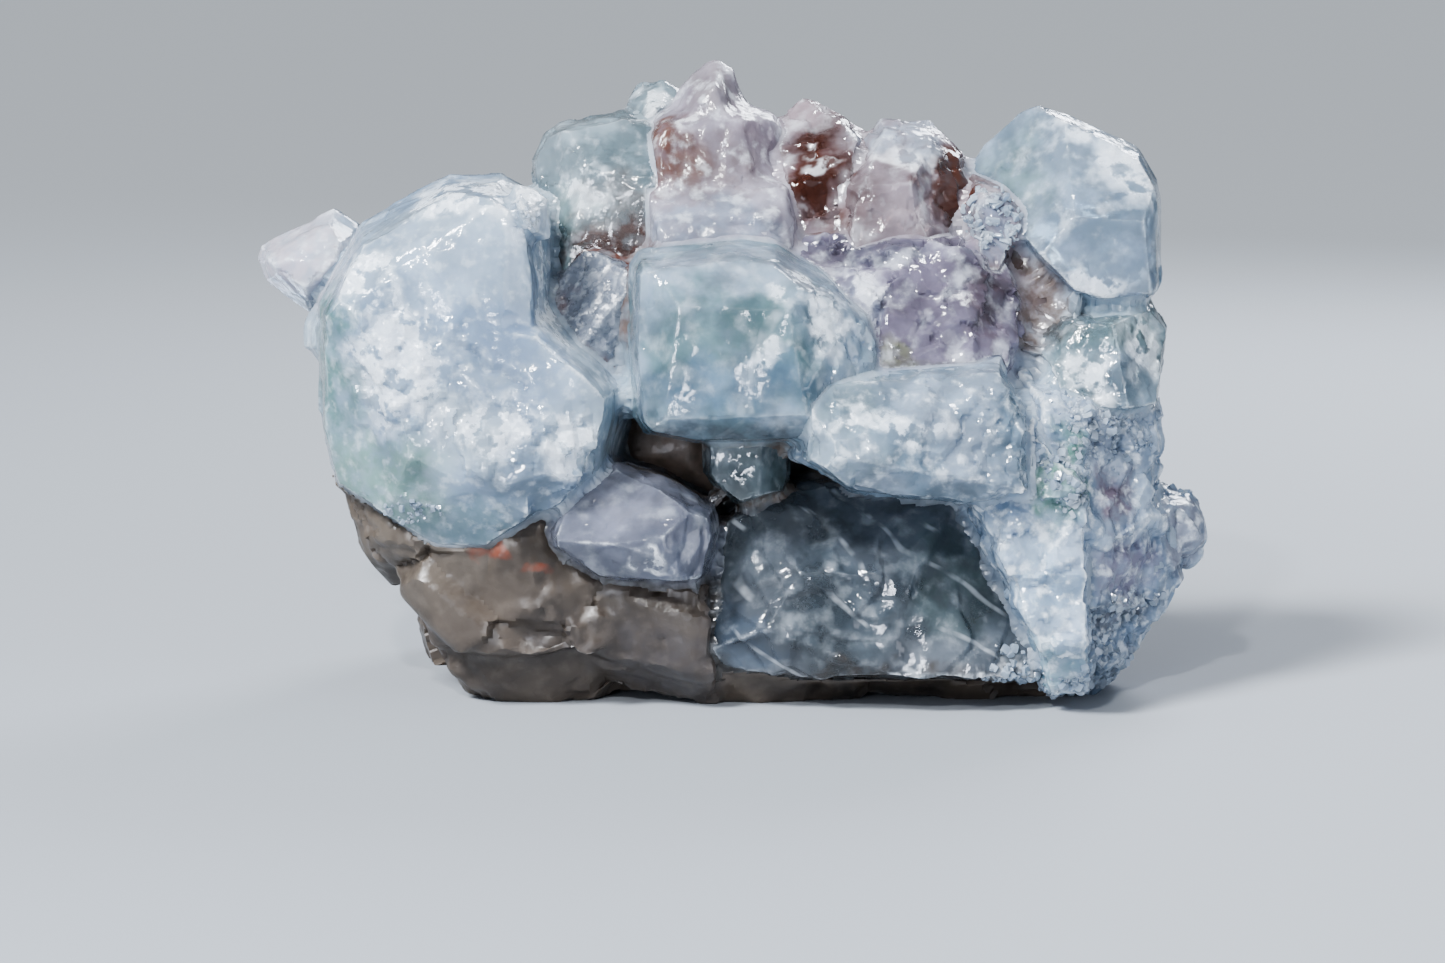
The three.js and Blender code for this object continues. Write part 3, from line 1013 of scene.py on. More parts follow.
        dull: Any = linear(self.body)
        pale: Any = linear(self.cloudy)
        milky: Any = linear(self.haze)
        if self.toned:
            dull = add("Attribute", {}, "Color", attribute_name=TONE)
            pale = add("Mix", {0: self.TONE_PALE, 6: dull, 7: pale}, **COLOURS)
            milky = add("Mix", {0: self.TONE_MILK, 6: dull, 7: milky}, **COLOURS)
        colour, deep = self.body_with_stains_and_painted_shading(canvas, dull, pale)
        haze = self.milkiness(canvas, deep)
        colour = add("Mix", {0: haze, 6: colour, 7: milky}, **COLOURS)
        patches = self.frosting(canvas)
        whiteness, strength = self.FROST_WHITE
        white = add("Mix", {0: whiteness, 6: colour, 7: linear(self.FROST_COLOUR)}, **COLOURS)
        cover = add("Math", {0: patches, 1: strength}, **TIMES)
        colour = add("Mix", {0: cover, 6: colour, 7: white}, **COLOURS)

        heart = replace(self.HEART, size=self.cloud_size * self.HEART_SIZE)
        clear = heart.share(add, place, self.clarity, self.clarity * self.CLOUD_CLARITY)
        left = add("MapRange", {0: haze, 1: 0.0, 2: 1.0, 3: 1.0, 4: self.HAZY_CLARITY}, **SMOOTH)
        clear = add("Math", {0: clear, 1: left}, **TIMES)
        clarity = add("Mix", {0: patches, 2: clear, 3: self.frost_clarity}, data_type="FLOAT")
        rough, normal = self.glints(canvas, patches)
        surface = {
            "Base Color": colour,
            "Roughness": rough,
            "IOR": self.ior,
            "Transmission Weight": clarity,
            "Subsurface Weight": self.milk,
            "Subsurface Radius": (1.0, 1.0, 1.0),
            "Subsurface Scale": self.milk_depth * MM,
            "Normal": normal,
        }
        ends = {"Surface": add("BsdfPrincipled", surface)}
        if self.stain_density:
            inside = {"Color": linear(self.stain), "Density": self.stain_density}
            ends["Volume"] = add("VolumeAbsorption", inside)
        add("OutputMaterial", ends)
        return material


# ---- crystals -----------------------------------------------------------------------------------


@dataclass
class Crystal:
    """One crystal, or a few grown through each other, made from its solid.

    `voxel` is the spacing of its fine mesh and `SWELL` how far it grows to close the seam with its
    neighbours, in millimetres; `wear` is how many rounds its edges are softened and `fill` how
    many rounds its hollow corners are filled. A `crisp` one keeps its edges in the fine mesh.
    """

    node: str
    finish: MineralFinish
    reliefs: tuple[Relief, ...]
    slot: str = "apophyllite"
    voxel: float = 0.26
    wear: int = 1
    fill: int = 25
    edge_angle: float = 15.0
    crisp: bool = True

    SWELL: ClassVar[float] = 0.1
    OCTREE_DEPTH: ClassVar[int] = 7
    LARGEST_SCALE: ClassVar[float] = 0.99  # the most that the octree's box may be filled
    SOFTENING: ClassVar[int] = 10  # rounds that are enough to melt an edge
    EDGE_BULGE: ClassVar[tuple[float, float]] = (0.04, 0.16)  # how far an edge then stands out
    ROOM: ClassVar[float] = 2.0  # how far off a neighbour is looked for
    CALM: ClassVar[tuple[float, float]] = (0.35, 1.4)  # the way to a neighbour that calms relief
    OWN_SHARE: ClassVar[float] = 0.45  # of the way to a neighbour, so that the two never meet

    def remeshed(self) -> bpy.types.Object:
        """Copies the solid with a fine, even mesh.

        Returns:
            The copy, in millimetres.
        """
        piece = copy_of_solid(self.node, self.node + "_grown")
        if not self.crisp:
            applied(piece, "REMESH", mode="VOXEL", voxel_size=self.voxel, adaptivity=0.0)
            return piece
        cells = 2**self.OCTREE_DEPTH * self.voxel
        applied(
            piece,
            "REMESH",
            mode="SHARP",
            octree_depth=self.OCTREE_DEPTH,
            scale=min(max(piece.dimensions) / cells, self.LARGEST_SCALE),
            sharpness=1.0,
            use_remove_disconnected=False,
        )
        return piece

    def worn(self, mesh: bpy.types.Mesh) -> np.ndarray:
        """Softens the edges and fills the hollow corners.

        Args:
            mesh: The fine mesh, which is left in a passing state.

        Returns:
            Its points' new places.
        """
        points = relaxed(mesh, read_points(mesh), self.wear)
        for _ in range(self.fill):
            write_points(mesh, points)
            normals = read_points(mesh, "normal")
            lack = ((relaxed(mesh, points, 1) - points) * normals).sum(axis=1)
            points = points + normals * np.maximum(lack, 0.0)[:, None]
        return points

    def build(self) -> bpy.types.Object:
        """Builds the crystal's mesh.

        Returns:
            The finished object, without its material.
        """
        piece = self.remeshed()
        mesh = piece.data
        points = self.worn(mesh)
        soft = relaxed(mesh, points, self.SOFTENING)
        write_points(mesh, points)
        normals = read_points(mesh, "normal")
        edge = eased(((points - soft) * normals).sum(axis=1), *self.EDGE_BULGE)
        rim = mesh.attributes.new(RIM, "FLOAT", "POINT")
        rim.data.foreach_set("value", edge.astype(np.float32))

        rise = np.zeros(len(points))
        for relief in self.reliefs:
            lifted = relief.lifted(self.node, points)
            rise += lifted * edge if isinstance(relief, Chips) else lifted
        room = clear_room(self.node, points, self.ROOM)
        rise = self.SWELL + rise * eased(room, *self.CALM)
        rise = np.minimum(rise, self.OWN_SHARE * room)
        write_points(mesh, above_floor(points + normals * rise[:, None]))
        smoothed(piece, self.edge_angle)
        return finished(piece, self.slot, [self.node])

    def dress(self, piece: bpy.types.Object) -> None:
        """Gives the crystal its finish."""
        coat(piece, self.finish.made(self.node))


# A healed crack in a crystal: a film of tiny bubbles, silvery white and broken into wisps.
CRACK_COLOUR = "#e3ebf0"
CRACK_GLOSS = 0.35
CRACK_WISPS = {"Scale": 1 / (1.4 * MM), "Detail": 5.0, "Distortion": 1.2}
CRACK_FADE = (0.40, 0.66)


@dataclass
class InnerCracks:
    """Healed cracks sealed inside a clear crystal: thin curved flakes that catch the light.

    `size` is the range of their lengths and `lean` the way that most of them face; `slender` is
    their width against their length, and `opacity` how much light their densest parts stop.
    """

    host: str
    count: int
    size: tuple[float, float]
    seed: int
    lean: Triple = (0.0, 0.0, 0.0)
    slender: float = 0.6
    opacity: float = 0.25

    GRID: ClassVar[tuple[int, int]] = (16, 10)
    THICKNESS: ClassVar[float] = 0.05
    UNDER_SKIN: ClassVar[float] = 0.7
    SCATTER: ClassVar[float] = 0.55  # radians between one flake's turn and the next
    TRIES: ClassVar[int] = 40
    SHRINKS: ClassVar[Triple] = (1.0, 0.75, 0.55)  # a flake that doesn't fit is made smaller
    FAR_OFF: ClassVar[float] = 90.0  # how far apart the flakes' noises may be taken
    BUMPS: ClassVar[tuple[float, float]] = (3.0, 0.16)  # how many lie along a flake, how high
    BOWS: ClassVar[tuple[float, float]] = (0.5, 0.4)  # how far it may bow along and across
    RAGS: ClassVar[tuple[float, float]] = (5.0, 0.3)  # how many lie along its edge, how deep
    RAG_SEED: ClassVar[int] = 5
    THIN: ClassVar[float] = 0.5  # the share of its bumps and bows that is kept

    def inside(self, tree: BVHTree, points: np.ndarray) -> bool:
        """Whether a flake is well inside the solid.

        Args:
            tree: The crystal's own surface, in millimetres.
            points: The flake's points.

        Returns:
            True if every point lies deep enough under the skin.
        """
        for point in points:
            near, normal, _, away = tree.find_nearest(point)
            if (Vector(point) - near).dot(normal) > 0 or away < self.UNDER_SKIN:
                return False
        return True

    def outline(self, rng: np.random.Generator, flat: np.ndarray) -> np.ndarray:
        """Bends a flat unit grid to a round, ragged and slightly bowed flake.

        Args:
            rng: The source of its random bends.
            flat: The grid's points.

        Returns:
            The flake's points, about 1 across.
        """
        (bumps, height), (along, across), (rags, depth) = self.BUMPS, self.BOWS, self.RAGS
        place = flat * bumps + rng.uniform(0, self.FAR_OFF, 3)
        bump = cloud(place, 1.0, self.seed, 3) * height
        bow = rng.uniform(-along, along) * flat[:, 0] ** 2
        bow = bow + rng.uniform(-across, across) * flat[:, 1] ** 2
        place = flat * rags + rng.uniform(0, self.FAR_OFF, 3)
        edge = 1 + depth * cloud(place, 1.0, self.seed + self.RAG_SEED, 2)
        round_off = 1 / np.maximum(1, np.linalg.norm(flat[:, :2], axis=1) / 0.5) ** 0.5
        return np.column_stack([flat[:, :2] * (edge * round_off)[:, None], bump + bow])

    def flake(self, rng: np.random.Generator, tree: BVHTree) -> bpy.types.Object | None:
        """One flake that fits in the crystal.

        Args:
            rng: The source of its random size, place and turn.
            tree: The crystal's own surface, in millimetres.

        Returns:
            The flake, or None where none fits.
        """
        low, high = box_of(self.host)
        along, across = self.GRID
        bpy.ops.object.select_all(action="DESELECT")
        bpy.ops.mesh.primitive_grid_add(x_subdivisions=along, y_subdivisions=across, size=1)
        piece = bpy.context.active_object
        shape = self.outline(rng, read_points(piece.data))
        for _ in range(self.TRIES):
            span = rng.uniform(*self.size)
            middle = rng.uniform(low, high)
            turn = Euler(np.array(self.lean) + rng.normal(0, self.SCATTER, 3)).to_matrix()
            for shrink in self.SHRINKS:
                scaled = shape * span * shrink * np.array([1.0, self.slender, self.THIN])
                points = scaled @ np.array(turn).T + middle
                if self.inside(tree, points):
                    write_points(piece.data, points)
                    applied(piece, "SOLIDIFY", thickness=self.THICKNESS, offset=0.0)
                    return piece
        bpy.data.objects.remove(piece)
        return None

    def build(self) -> bpy.types.Object | None:
        """Builds all the flakes as one piece.

        Returns:
            The piece, or None where no flake fits.
        """
        rng = np.random.default_rng(self.seed)
        tree, _ = surface_of([self.host])
        flakes = [made for made in (self.flake(rng, tree) for _ in range(self.count)) if made]
        if not flakes:
            return None
        piece = joined_as(self.host + "_inner_cracks", flakes)
        bpy.ops.object.shade_smooth()
        return finished(piece, "apophyllite")

    def dress(self, piece: bpy.types.Object) -> None:
        """Gives the flakes their silvery, broken film.

        Args:
            piece: The flakes.
        """
        material, add = blank_material("healed_crack_" + self.host)
        place = add("TexCoord", {}, "Object")
        wisps = add("TexNoise", {"Vector": place, **CRACK_WISPS})
        low, high = CRACK_FADE
        film = add("MapRange", {0: wisps, 1: low, 2: high, 3: 0.0, 4: self.opacity}, **SMOOTH)
        surface = {"Base Color": linear(CRACK_COLOUR), "Roughness": CRACK_GLOSS, "Alpha": film}
        add("OutputMaterial", {"Surface": add("BsdfPrincipled", surface)})
        coat(piece, material)


@dataclass
class SeamCrust:
    """The crust of fine crystals in the seams, where the large ones have grown into each other.

    It bridges every seam narrower than twice `REACH`, stays `SKIN` under the faces that it joins
    and is `DEPTH` thick, in millimetres. In the `broad` spots it reaches `SPREAD` times as far
    again. It takes its colour from the nearest solid, by `tones`, and grows only within
    `NEAR_CRYSTAL` of a crystal, so the matrix's own folds stay open.
    """

    finish: MineralFinish
    reliefs: tuple[Relief, ...]
    tones: dict[str, np.ndarray]
    broad: tuple[Spot, ...]

    SPREAD: ClassVar[float] = 1.8
    NEAR_CRYSTAL: ClassVar[float] = 1.8
    REACH: ClassVar[float] = 0.6
    SKIN: ClassVar[float] = 0.14
    DEPTH: ClassVar[float] = 0.6
    VOXEL: ClassVar[float] = 0.36
    HIDDEN: ClassVar[float] = -0.02  # faces deeper than this inside a solid are dropped
    EDGE_ANGLE: ClassVar[float] = 24.0
    ROUNDS: ClassVar[tuple[int, int, int]] = (2, 3, 8)  # of softening: the wraps, crust, colours

    def wrapped(self) -> bpy.types.Object:
        """Grows a skin round all the solids and shrinks it again, so that it stays in the seams.

        Returns:
            The skin as one object, in millimetres.
        """
        parts = [copy_of_solid(node, node + "_part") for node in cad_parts]
        piece = joined_as("seam_crust", parts)
        for way, extra in ((1.0, 0.0), (-1.0, self.SKIN)):
            applied(piece, "REMESH", mode="VOXEL", voxel_size=self.VOXEL, adaptivity=0.0)
            skin = relaxed(piece.data, read_points(piece.data), self.ROUNDS[0])
            write_points(piece.data, skin)
            share = np.max([spot.share(WHOLE, skin) for spot in self.broad], axis=0)
            offset = way * (self.REACH * (1 + self.SPREAD * share) + extra)
            write_points(piece.data, skin + read_points(piece.data, "normal") * offset[:, None])
        return piece

    def measured(self, points: np.ndarray) -> tuple[np.ndarray, np.ndarray, np.ndarray]:
        """Finds how each point lies to the solids.

        Args:
            points: The skin's points, in millimetres.

        Returns:
            How far each is outside the nearest solid, whether it has no crystal near it, and the
            tone of the nearest solid.
        """
        tree, owners = surface_of(list(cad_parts))
        crystal_tree, _ = surface_of([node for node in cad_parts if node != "matrix"])
        bare, alone = np.zeros(len(points)), np.zeros(len(points), bool)
        tones = np.zeros((len(points), 3))
        for index, point in enumerate(points):
            near, normal, face, away = tree.find_nearest(point)
            bare[index] = away if (Vector(point) - near).dot(normal) > 0 else -away
            tones[index] = self.tones[owners[face]]
            alone[index] = crystal_tree.find_nearest(point, self.NEAR_CRYSTAL)[3] is None
        return bare, alone, tones

    def build(self) -> bpy.types.Object:
        """Wraps all the solids, and keeps what lies between them.

        Returns:
            The finished crust, without its material.
        """
        piece = self.wrapped()
        mesh = piece.data
        points = relaxed(mesh, read_points(mesh), self.ROUNDS[1])
        bare, alone, tones = self.measured(points)
        tone = mesh.color_attributes.new(TONE, "FLOAT_COLOR", "POINT")
        tones = np.column_stack([relaxed(mesh, tones, self.ROUNDS[2]), np.ones(len(points))])
        tone.data.foreach_set("color", tones.astype(np.float32).ravel())
        write_points(mesh, points)
        normals = read_points(mesh, "normal")
        rise = sum(relief.lifted(WHOLE, points) for relief in self.reliefs)
        rise = rise * eased(bare, 0.0, self.REACH)
        write_points(mesh, above_floor(points + normals * rise[:, None]))

        corners = np.empty(len(mesh.polygons) * 4, np.int32)
        mesh.polygons.foreach_get("vertices", corners)
        corners = corners.reshape(-1, 4)
        drop_faces(piece, (bare[corners].max(axis=1) < self.HIDDEN) | alone[corners].all(axis=1))
        applied(piece, "SOLIDIFY", thickness=self.DEPTH, offset=-1.0)
        smoothed(piece, self.EDGE_ANGLE)
        return finished(piece, "apophyllite")

    def dress(self, piece: bpy.types.Object) -> None:
        """Gives the crust its finish."""
        coat(piece, self.finish.made(WHOLE))


class Habit(Enum):
    """The outline of a small crystal: its width, depth and height, and how its head narrows."""

    BLOCK = (1.0, 0.9, 0.85, 0.0)
    TABLET = (1.0, 0.42, 1.35, 0.35)


@dataclass
class SmallCrystals:
    """A crust of small crystals, seated in the skin of a larger one.

    `size` is the range of their spans in millimetres, and `sunk` the share of one that is under
    the skin.
    """

    finish: MineralFinish
    name: str
    host: str
    spots: tuple[Spot, ...]
    count: int
    size: tuple[float, float]
    seed: int
    habit: Habit = Habit.BLOCK
    sunk: float = 0.5

    CORNER: ClassVar[float] = 0.2  # how much of each corner is cut off
    UPRIGHT: ClassVar[float] = 0.5  # how strongly they stand off the skin
    SCATTER: ClassVar[float] = 0.6  # against how much each leans its own way
    CLEAR: ClassVar[float] = 0.6  # none grows nearer to another solid than this
    LOWEST: ClassVar[float] = 0.8  # nor nearer to the floor
    ROOM: ClassVar[float] = 1.0  # how far off another solid is looked for
    FINE: ClassVar[float] = 2.2  # the higher, the more of them are small
    STRETCH: ClassVar[tuple[float, float]] = (0.6, 1.4)  # the range of each one's own shape
    HEIGHT: ClassVar[float] = 0.6  # how high one is against its span, to seat it by
    SPIN: ClassVar[float] = 6.28  # each is turned about its own axis by up to this, in radians

    def pattern(self) -> tuple[np.ndarray, list[tuple[int, ...]]]:
        """Models the one crystal that all are copied from.

        Returns:
            Its points and faces, about 1 mm across.
        """
        *sides, narrowing = self.habit.value
        bpy.ops.object.select_all(action="DESELECT")
        bpy.ops.mesh.primitive_cube_add(size=1)
        piece = bpy.context.active_object
        bpy.ops.object.mode_set(mode="EDIT")
        bpy.ops.mesh.select_all(action="SELECT")
        bpy.ops.transform.resize(value=sides)
        bpy.ops.mesh.bevel(offset=self.CORNER, segments=1, affect="VERTICES", clamp_overlap=True)
        bpy.ops.object.mode_set(mode="OBJECT")
        points = read_points(piece.data)
        points[:, 0] *= 1 - narrowing * np.clip(points[:, 2], 0, 1)
        faces = [tuple(face.vertices) for face in piece.data.polygons]
        bpy.data.objects.remove(piece)
        return points, faces

    def build(self, host: bpy.types.Object) -> bpy.types.Object:
        """Seats the copies on a finished host.

        Args:
            host: The dressed crystal that carries them, in metres.

        Returns:
            All the copies as one piece.
        """
        rng = np.random.default_rng(self.seed)
        mesh = host.data
        middles = np.empty(len(mesh.polygons) * 3, np.float32)
        normals, areas = middles.copy(), np.empty(len(mesh.polygons), np.float32)
        mesh.polygons.foreach_get("center", middles)
        mesh.polygons.foreach_get("normal", normals)
        mesh.polygons.foreach_get("area", areas)
        middles, normals = middles.reshape(-1, 3) / MM, normals.reshape(-1, 3)
        wanted = np.max([spot.share(self.host, middles) for spot in self.spots], axis=0)
        clear = clear_room(self.host, middles.astype(np.float64), self.ROOM) > self.CLEAR
        weight = areas * wanted * clear * (middles[:, 2] > self.LOWEST)
        picked = rng.choice(len(weight), self.count, p=weight / weight.sum())
        pattern, faces = self.pattern()
        corners, joined = [], []
        small, large = self.size
        for index in picked:
            span = rng.uniform(0, 1) ** self.FINE * (large - small) + small
            shape = pattern * span * rng.uniform(*self.STRETCH, 3)
            lean = Vector(normals[index]) * self.UPRIGHT + Vector(rng.normal(0, self.SCATTER, 3))
            spin = Matrix.Rotation(rng.uniform(0, self.SPIN), 3, "Z")
            turn = lean.to_track_quat("Z", "Y").to_matrix() @ spin
            seat = middles[index] + normals[index] * span * (0.5 - self.sunk) * self.HEIGHT
            start = len(corners) * len(pattern)
            corners.append(shape @ np.array(turn).T + seat)
            joined += [tuple(start + i for i in face) for face in faces]
        made = bpy.data.meshes.new(self.name)
        made.from_pydata(above_floor(np.concatenate(corners)).tolist(), [], joined)
        piece = bpy.data.objects.new(self.name, made)
        bpy.context.scene.collection.objects.link(piece)
        return finished(piece, "apophyllite")

    def dress(self, piece: bpy.types.Object) -> None:
        """Gives the small crystals their finish."""
        coat(piece, self.finish.made(self.host))


# ---- the minerals' finishes ---------------------------------------------------------------------

PALE_GREEN = "#86a8a0"
TEAL = "#58837d"
RUST = "#5e3322"

# Apophyllite with a broken, etched skin: white and frosty in front, green glass at the flank.
LEFT_FINISH = MineralFinish(
    name="frosted_apophyllite", body="#93a8bf", cloudy="#b5c5d3", clarity=0.48, gloss=0.12,
    frost_clarity=0.1, frost_gloss=0.36, milk=0.6, milk_depth=3.5, stain="#c8dbd9",
    stain_density=35, cloud_size=10, wisp=0.35, wisp_size=1.3,
    tints=(
        Tint(Spot((0.2, 0.16, 0.52), (5, 12, 12)), TEAL, 0.85),
        Tint(Spot((0.36, 0.1, 0.2), (9, 9, 6)), PALE_GREEN, 0.85),
        Tint(Spot((0.6, 0.1, 0.08), (9, 9, 4)), "#69858e", 0.7),
        Tint(Spot((0.08, 0.55, 0.8), (8, 12, 8)), "#ddd3dc", 0.8),
        Tint(Spot((0.76, 0.05, 0.22), (4, 6, 4)), "#768390", 0.6),
        Tint(Spot((0.6, 0.08, 0.8), (10, 8, 6)), "#b8c9db", 0.8),
        Tint(Spot((0.72, 0.06, 0.55), (7, 7, 6)), "#9bb0cb", 0.7),
        # Near-white on the side wall by the notch: painted light over the wall's shade.
        Tint(Spot((0.8, 0.3, 0.7), (2, 9, 9)), "#dbe6f2", 1),
    ),
    frost=(
        # Frost on that same wall, which also whitens it as painted light.
        Spot((0.8, 0.3, 0.7), (1.6, 9, 9)),
        Spot((0.43, 0.04, 0.52), (5.5, 6, 7)),
        Spot((0.57, 0.22, 0.97), (11, 9, 3)),
        Spot((0.36, 0.08, 0.76), (3.4, 5, 4.5)),
        Spot((0.68, 0.02, 0.38), (4, 4, 3)),
        Spot((0.84, 0.03, 0.32), (3.5, 4, 4)),
        Spot((0.74, 0.11, 0.92), (2.5, 4, 3)),
    ),
)

# Apophyllite with clean growth faces: green glass with a cloudy heart and a milky rim.
CENTRE_FINISH = MineralFinish(
    name="cloudy_apophyllite", body="#7a95a0", cloudy="#a2b6c8", clarity=0.66, gloss=0.1,
    frost_clarity=0.12, frost_gloss=0.32, milk=0.6, milk_depth=3.5, stain="#abc9c8",
    stain_density=45, wisp=0.3, veil=0.35, veil_size=5, veil_run=(0.1, 0.2, 1), rim=0.4,
    tints=(
        Tint(Spot((0.46, 0.05, 0.64), (11, 6, 6)), "#7b9a9d", 0.7),
        Tint(Spot((0.4, 0.05, 0.36), (11, 5, 3)), "#7794ad", 0.75),
        Tint(Spot((0.84, 0.2, 0.62), (6, 8, 8)), "#a1b3c7", 0.8),
        # A darker band along the foot: painted shade on the face that looks down.
        Tint(Spot((0.38, 0.08, 0.1), (13, 8, 2.6)), "#5d6b78", 0.9),
        Tint(Spot((0.4, 0.2, 0.92), (13, 7, 3)), "#afc0d1", 0.85),
    ),
    frost=(
        Spot((0.64, 0.18, 0.84), (3, 4, 2.2)),
        Spot((0.78, 0.15, 0.66), (2.6, 5, 3)),
        Spot((0.52, 0.03, 0.46), (2.2, 3, 1.8)),
    ),
)

# Apophyllite, the cleanest block: pale grey-green glass with whitish clouds.
RIGHT_TOP_FINISH = MineralFinish(
    name="clean_apophyllite", body="#96a9bb", cloudy="#b6c6d9", clarity=0.74, gloss=0.07,
    frost_clarity=0.2, frost_gloss=0.28, milk_depth=3.5, stain="#b5cac6", stain_density=35,
    wisp=0.5,
    tints=(
        Tint(Spot((0.15, 0.18, 0.72), (6, 9, 8)), "#839a9b", 0.75),
        Tint(Spot((0.62, 0.02, 0.32), (8, 6, 6)), "#96a8bf", 0.75),
        Tint(Spot((0.6, 0.12, 0.8), (8, 8, 4)), "#bbccdf", 0.8),
    ),
    frost=(
        Spot((0.8, 0.18, 0.72), (3.6, 6, 6)),
        Spot((0.6, 0.25, 0.94), (5, 6, 2)),
        Spot((0.6, 0.02, 0.14), (5, 5, 2)),
    ),
)

# Apophyllite with limonite washed into its foot: pale green glass, rusty below.
UPPER_LEFT_FINISH = MineralFinish(
    name="stained_apophyllite", body="#91a4ad", cloudy="#b1c0c9", clarity=0.75, gloss=0.1,
    frost_gloss=0.32, stain="#cdd4cd", stain_density=35, wisp=0.35, wisp_size=1.6,
    tints=(
        Tint(Spot((0.25, 0.1, 0.35), (3.5, 8, 6)), "#89a5a2", 0.6),
        Tint(Spot((0.62, 0.05, 0.42), (4, 8, 5)), "#877972", 0.75),
        Tint(Spot((0.55, 0.04, 0.3), (6, 8, 3)), RUST, 1),
        Tint(Spot((0.1, 0.1, 0.24), (2, 6, 2.2)), RUST, 0.8),
    ),
    frost=(Spot((0.76, 0.36, 0.92), (2.6, 6, 2.4)), Spot((0.33, 0.06, 0.56), (3, 5, 3))),
)

# Apophyllite broken small in a corner: dull grey, with rust at its foot.
NOTCH_FINISH = MineralFinish(
    name="grey_apophyllite", body="#69707c", cloudy="#7f8692", clarity=0.25, gloss=0.3,
    frost_gloss=0.4, milk=0.55, milk_depth=2, stain="#b3bec6", stain_density=60, wisp=0.28,
    wisp_size=0.9, rim=0.35, facet_tilt=0.12,
    tints=(
        Tint(Spot((0.45, 0.05, 0.06), (7, 6, 2.6)), RUST, 0.9),
        Tint(Spot((0.05, 0.05, 0.85), (2.5, 6, 4)), RUST, 0.7),
    ),
)

# Apophyllite grown in thin layers: greenish glass that glints from step to step.
RIGHT_LOWER_FINISH = MineralFinish(
    name="green_apophyllite", body="#879ea7", cloudy="#a5b9c8", clarity=0.78, gloss=0.09,
    milk_depth=2.5, stain="#bccdca", stain_density=40, wisp=0.45,
    tints=(
        Tint(Spot((0.6, 0.1, 0.8), (6, 8, 3)), "#8ca4a7", 0.7),
        Tint(Spot((0.1, 0.1, 0.9), (5, 10, 3)), "#766c66", 0.8),
        Tint(Spot((0.62, 0.06, 0.3), (5, 8, 4)), "#a4b6c8", 0.7),
    ),
    frost=(Spot((0.84, 0.15, 0.66), (2, 4, 3.6)), Spot((0.4, 0.06, 0.4), (2.4, 4, 2))),
)

# Apophyllite ledge etched all over: white and satin, with a fine glitter.
LEDGE_FINISH = MineralFinish(
    name="etched_apophyllite", body="#8aa0b3", cloudy="#b0c0d2", clarity=0.6, gloss=0.16,
    frost_clarity=0.06, frost_gloss=0.38, milk=0.65, milk_depth=2.5, stain="#c5d8d8",
    stain_density=45, wisp=0.6, wisp_size=1.8, facet_tilt=0.12,
    tints=(
        Tint(Spot((0.2, 0.16, 0.78), (6, 6, 4)), "#9ab0b5", 0.5),
        Tint(Spot((0.2, 0.1, 0.4), (5, 6, 3)), "#8fa4ac", 0.5),
        Tint(Spot((0.6, 0.1, 0.08), (10, 8, 2)), "#728494", 0.7),
    ),
    frost=(Spot((0.45, 0.12, 0.62), (4.5, 4, 2.4)), Spot((0.25, 0.12, 0.62), (2.4, 3, 1.4))),
)

# Apophyllite sugar: a mass of grains, bluish white with mauve and green places.
DRUSE_FINISH = MineralFinish(
    name="sugary_apophyllite", body="#8498af", cloudy="#b8c9dc", clarity=0.35, gloss=0.16,
    frost_clarity=0.06, frost_gloss=0.36, milk=0.6, milk_depth=2, stain="#c2cfdb", stain_density=60,
    cloud_size=4.5, wisp=0.75, wisp_size=1.5, facet=0.5, facet_tilt=0.25,
    tints=(
        Tint(Spot((0.36, 0.06, 0.7), (2.6, 6, 6)), "#56846d", 0.8),
        Tint(Spot((0.28, 0.1, 0.35), (4, 8, 10)), "#a2b9cd", 0.7),
        Tint(Spot((0.3, 0.1, 0.14), (4, 8, 5)), "#8cb2ba", 0.6),
        Tint(Spot((0.58, 0.2, 0.62), (3.4, 7, 4)), "#7a6777", 0.85),
        Tint(Spot((0.6, 0.2, 0.85), (5, 8, 6)), "#818a9b", 0.6),
        Tint(Spot((0.62, 0.25, 0.39), (5, 7, 4)), "#807b94", 0.85),
        Tint(Spot((0.59, 0.25, 0.26), (5, 8, 2.2)), "#4a505e", 0.9),
        Tint(Spot((0.9, 0.44, 0.45), (4, 6, 5)), "#9493a1", 0.7),
        Tint(Spot((0.5, 0.8, 0.5), (15, 12, 20)), "#7d7776", 0.75),
    ),
)

# Apophyllite broken like glass: deep, dark blue-grey and shiny; the darkness of its body colours is
# partly painted shade, for the little light that reaches its low place.
LOWER_CENTRE_FINISH = MineralFinish(
    name="glassy_apophyllite", body="#677078", cloudy="#7e8690", clarity=0.7, gloss=0.06,
    frost_clarity=0.3, frost_gloss=0.26, milk_depth=4, stain="#afb7ba", stain_density=55, wisp=0.25,
    wisp_size=2.4, veil=0.45, veil_size=4.2, facet_tilt=0.03,
    tints=(
        Tint(Spot((0.72, 0.15, 0.58), (5.5, 7, 7)), "#6b7d80", 0.7),
        Tint(Spot((0.45, 0.03, 0.48), (8, 6, 6)), "#515e69", 0.6),
        Tint(Spot((0.1, 0.1, 0.25), (6, 6, 3)), "#74859a", 0.7),
        Tint(Spot((0.55, 0.1, 0.06), (14, 7, 2)), "#5c5550", 0.8),
    ),
    frost=(Spot((0.9, 0.1, 0.14), (3.5, 5, 2)),),
)

# Apophyllite with smooth cleavage faces: greyish mauve and softly milky.
LOWER_LEFT_FINISH = MineralFinish(
    name="bluish_apophyllite", body="#777d8e", cloudy="#9094a5", clarity=0.6, gloss=0.1, milk=0.55,
    stain="#a3a9b4", stain_density=80, wisp=0.28,
    tints=(Tint(Spot((0.5, 0.6, 0.5), (14, 9, 9)), "#696462", 0.6),),
    frost=(Spot((0.6, 0.03, 0.27), (2.4, 4, 1.3)),),
)

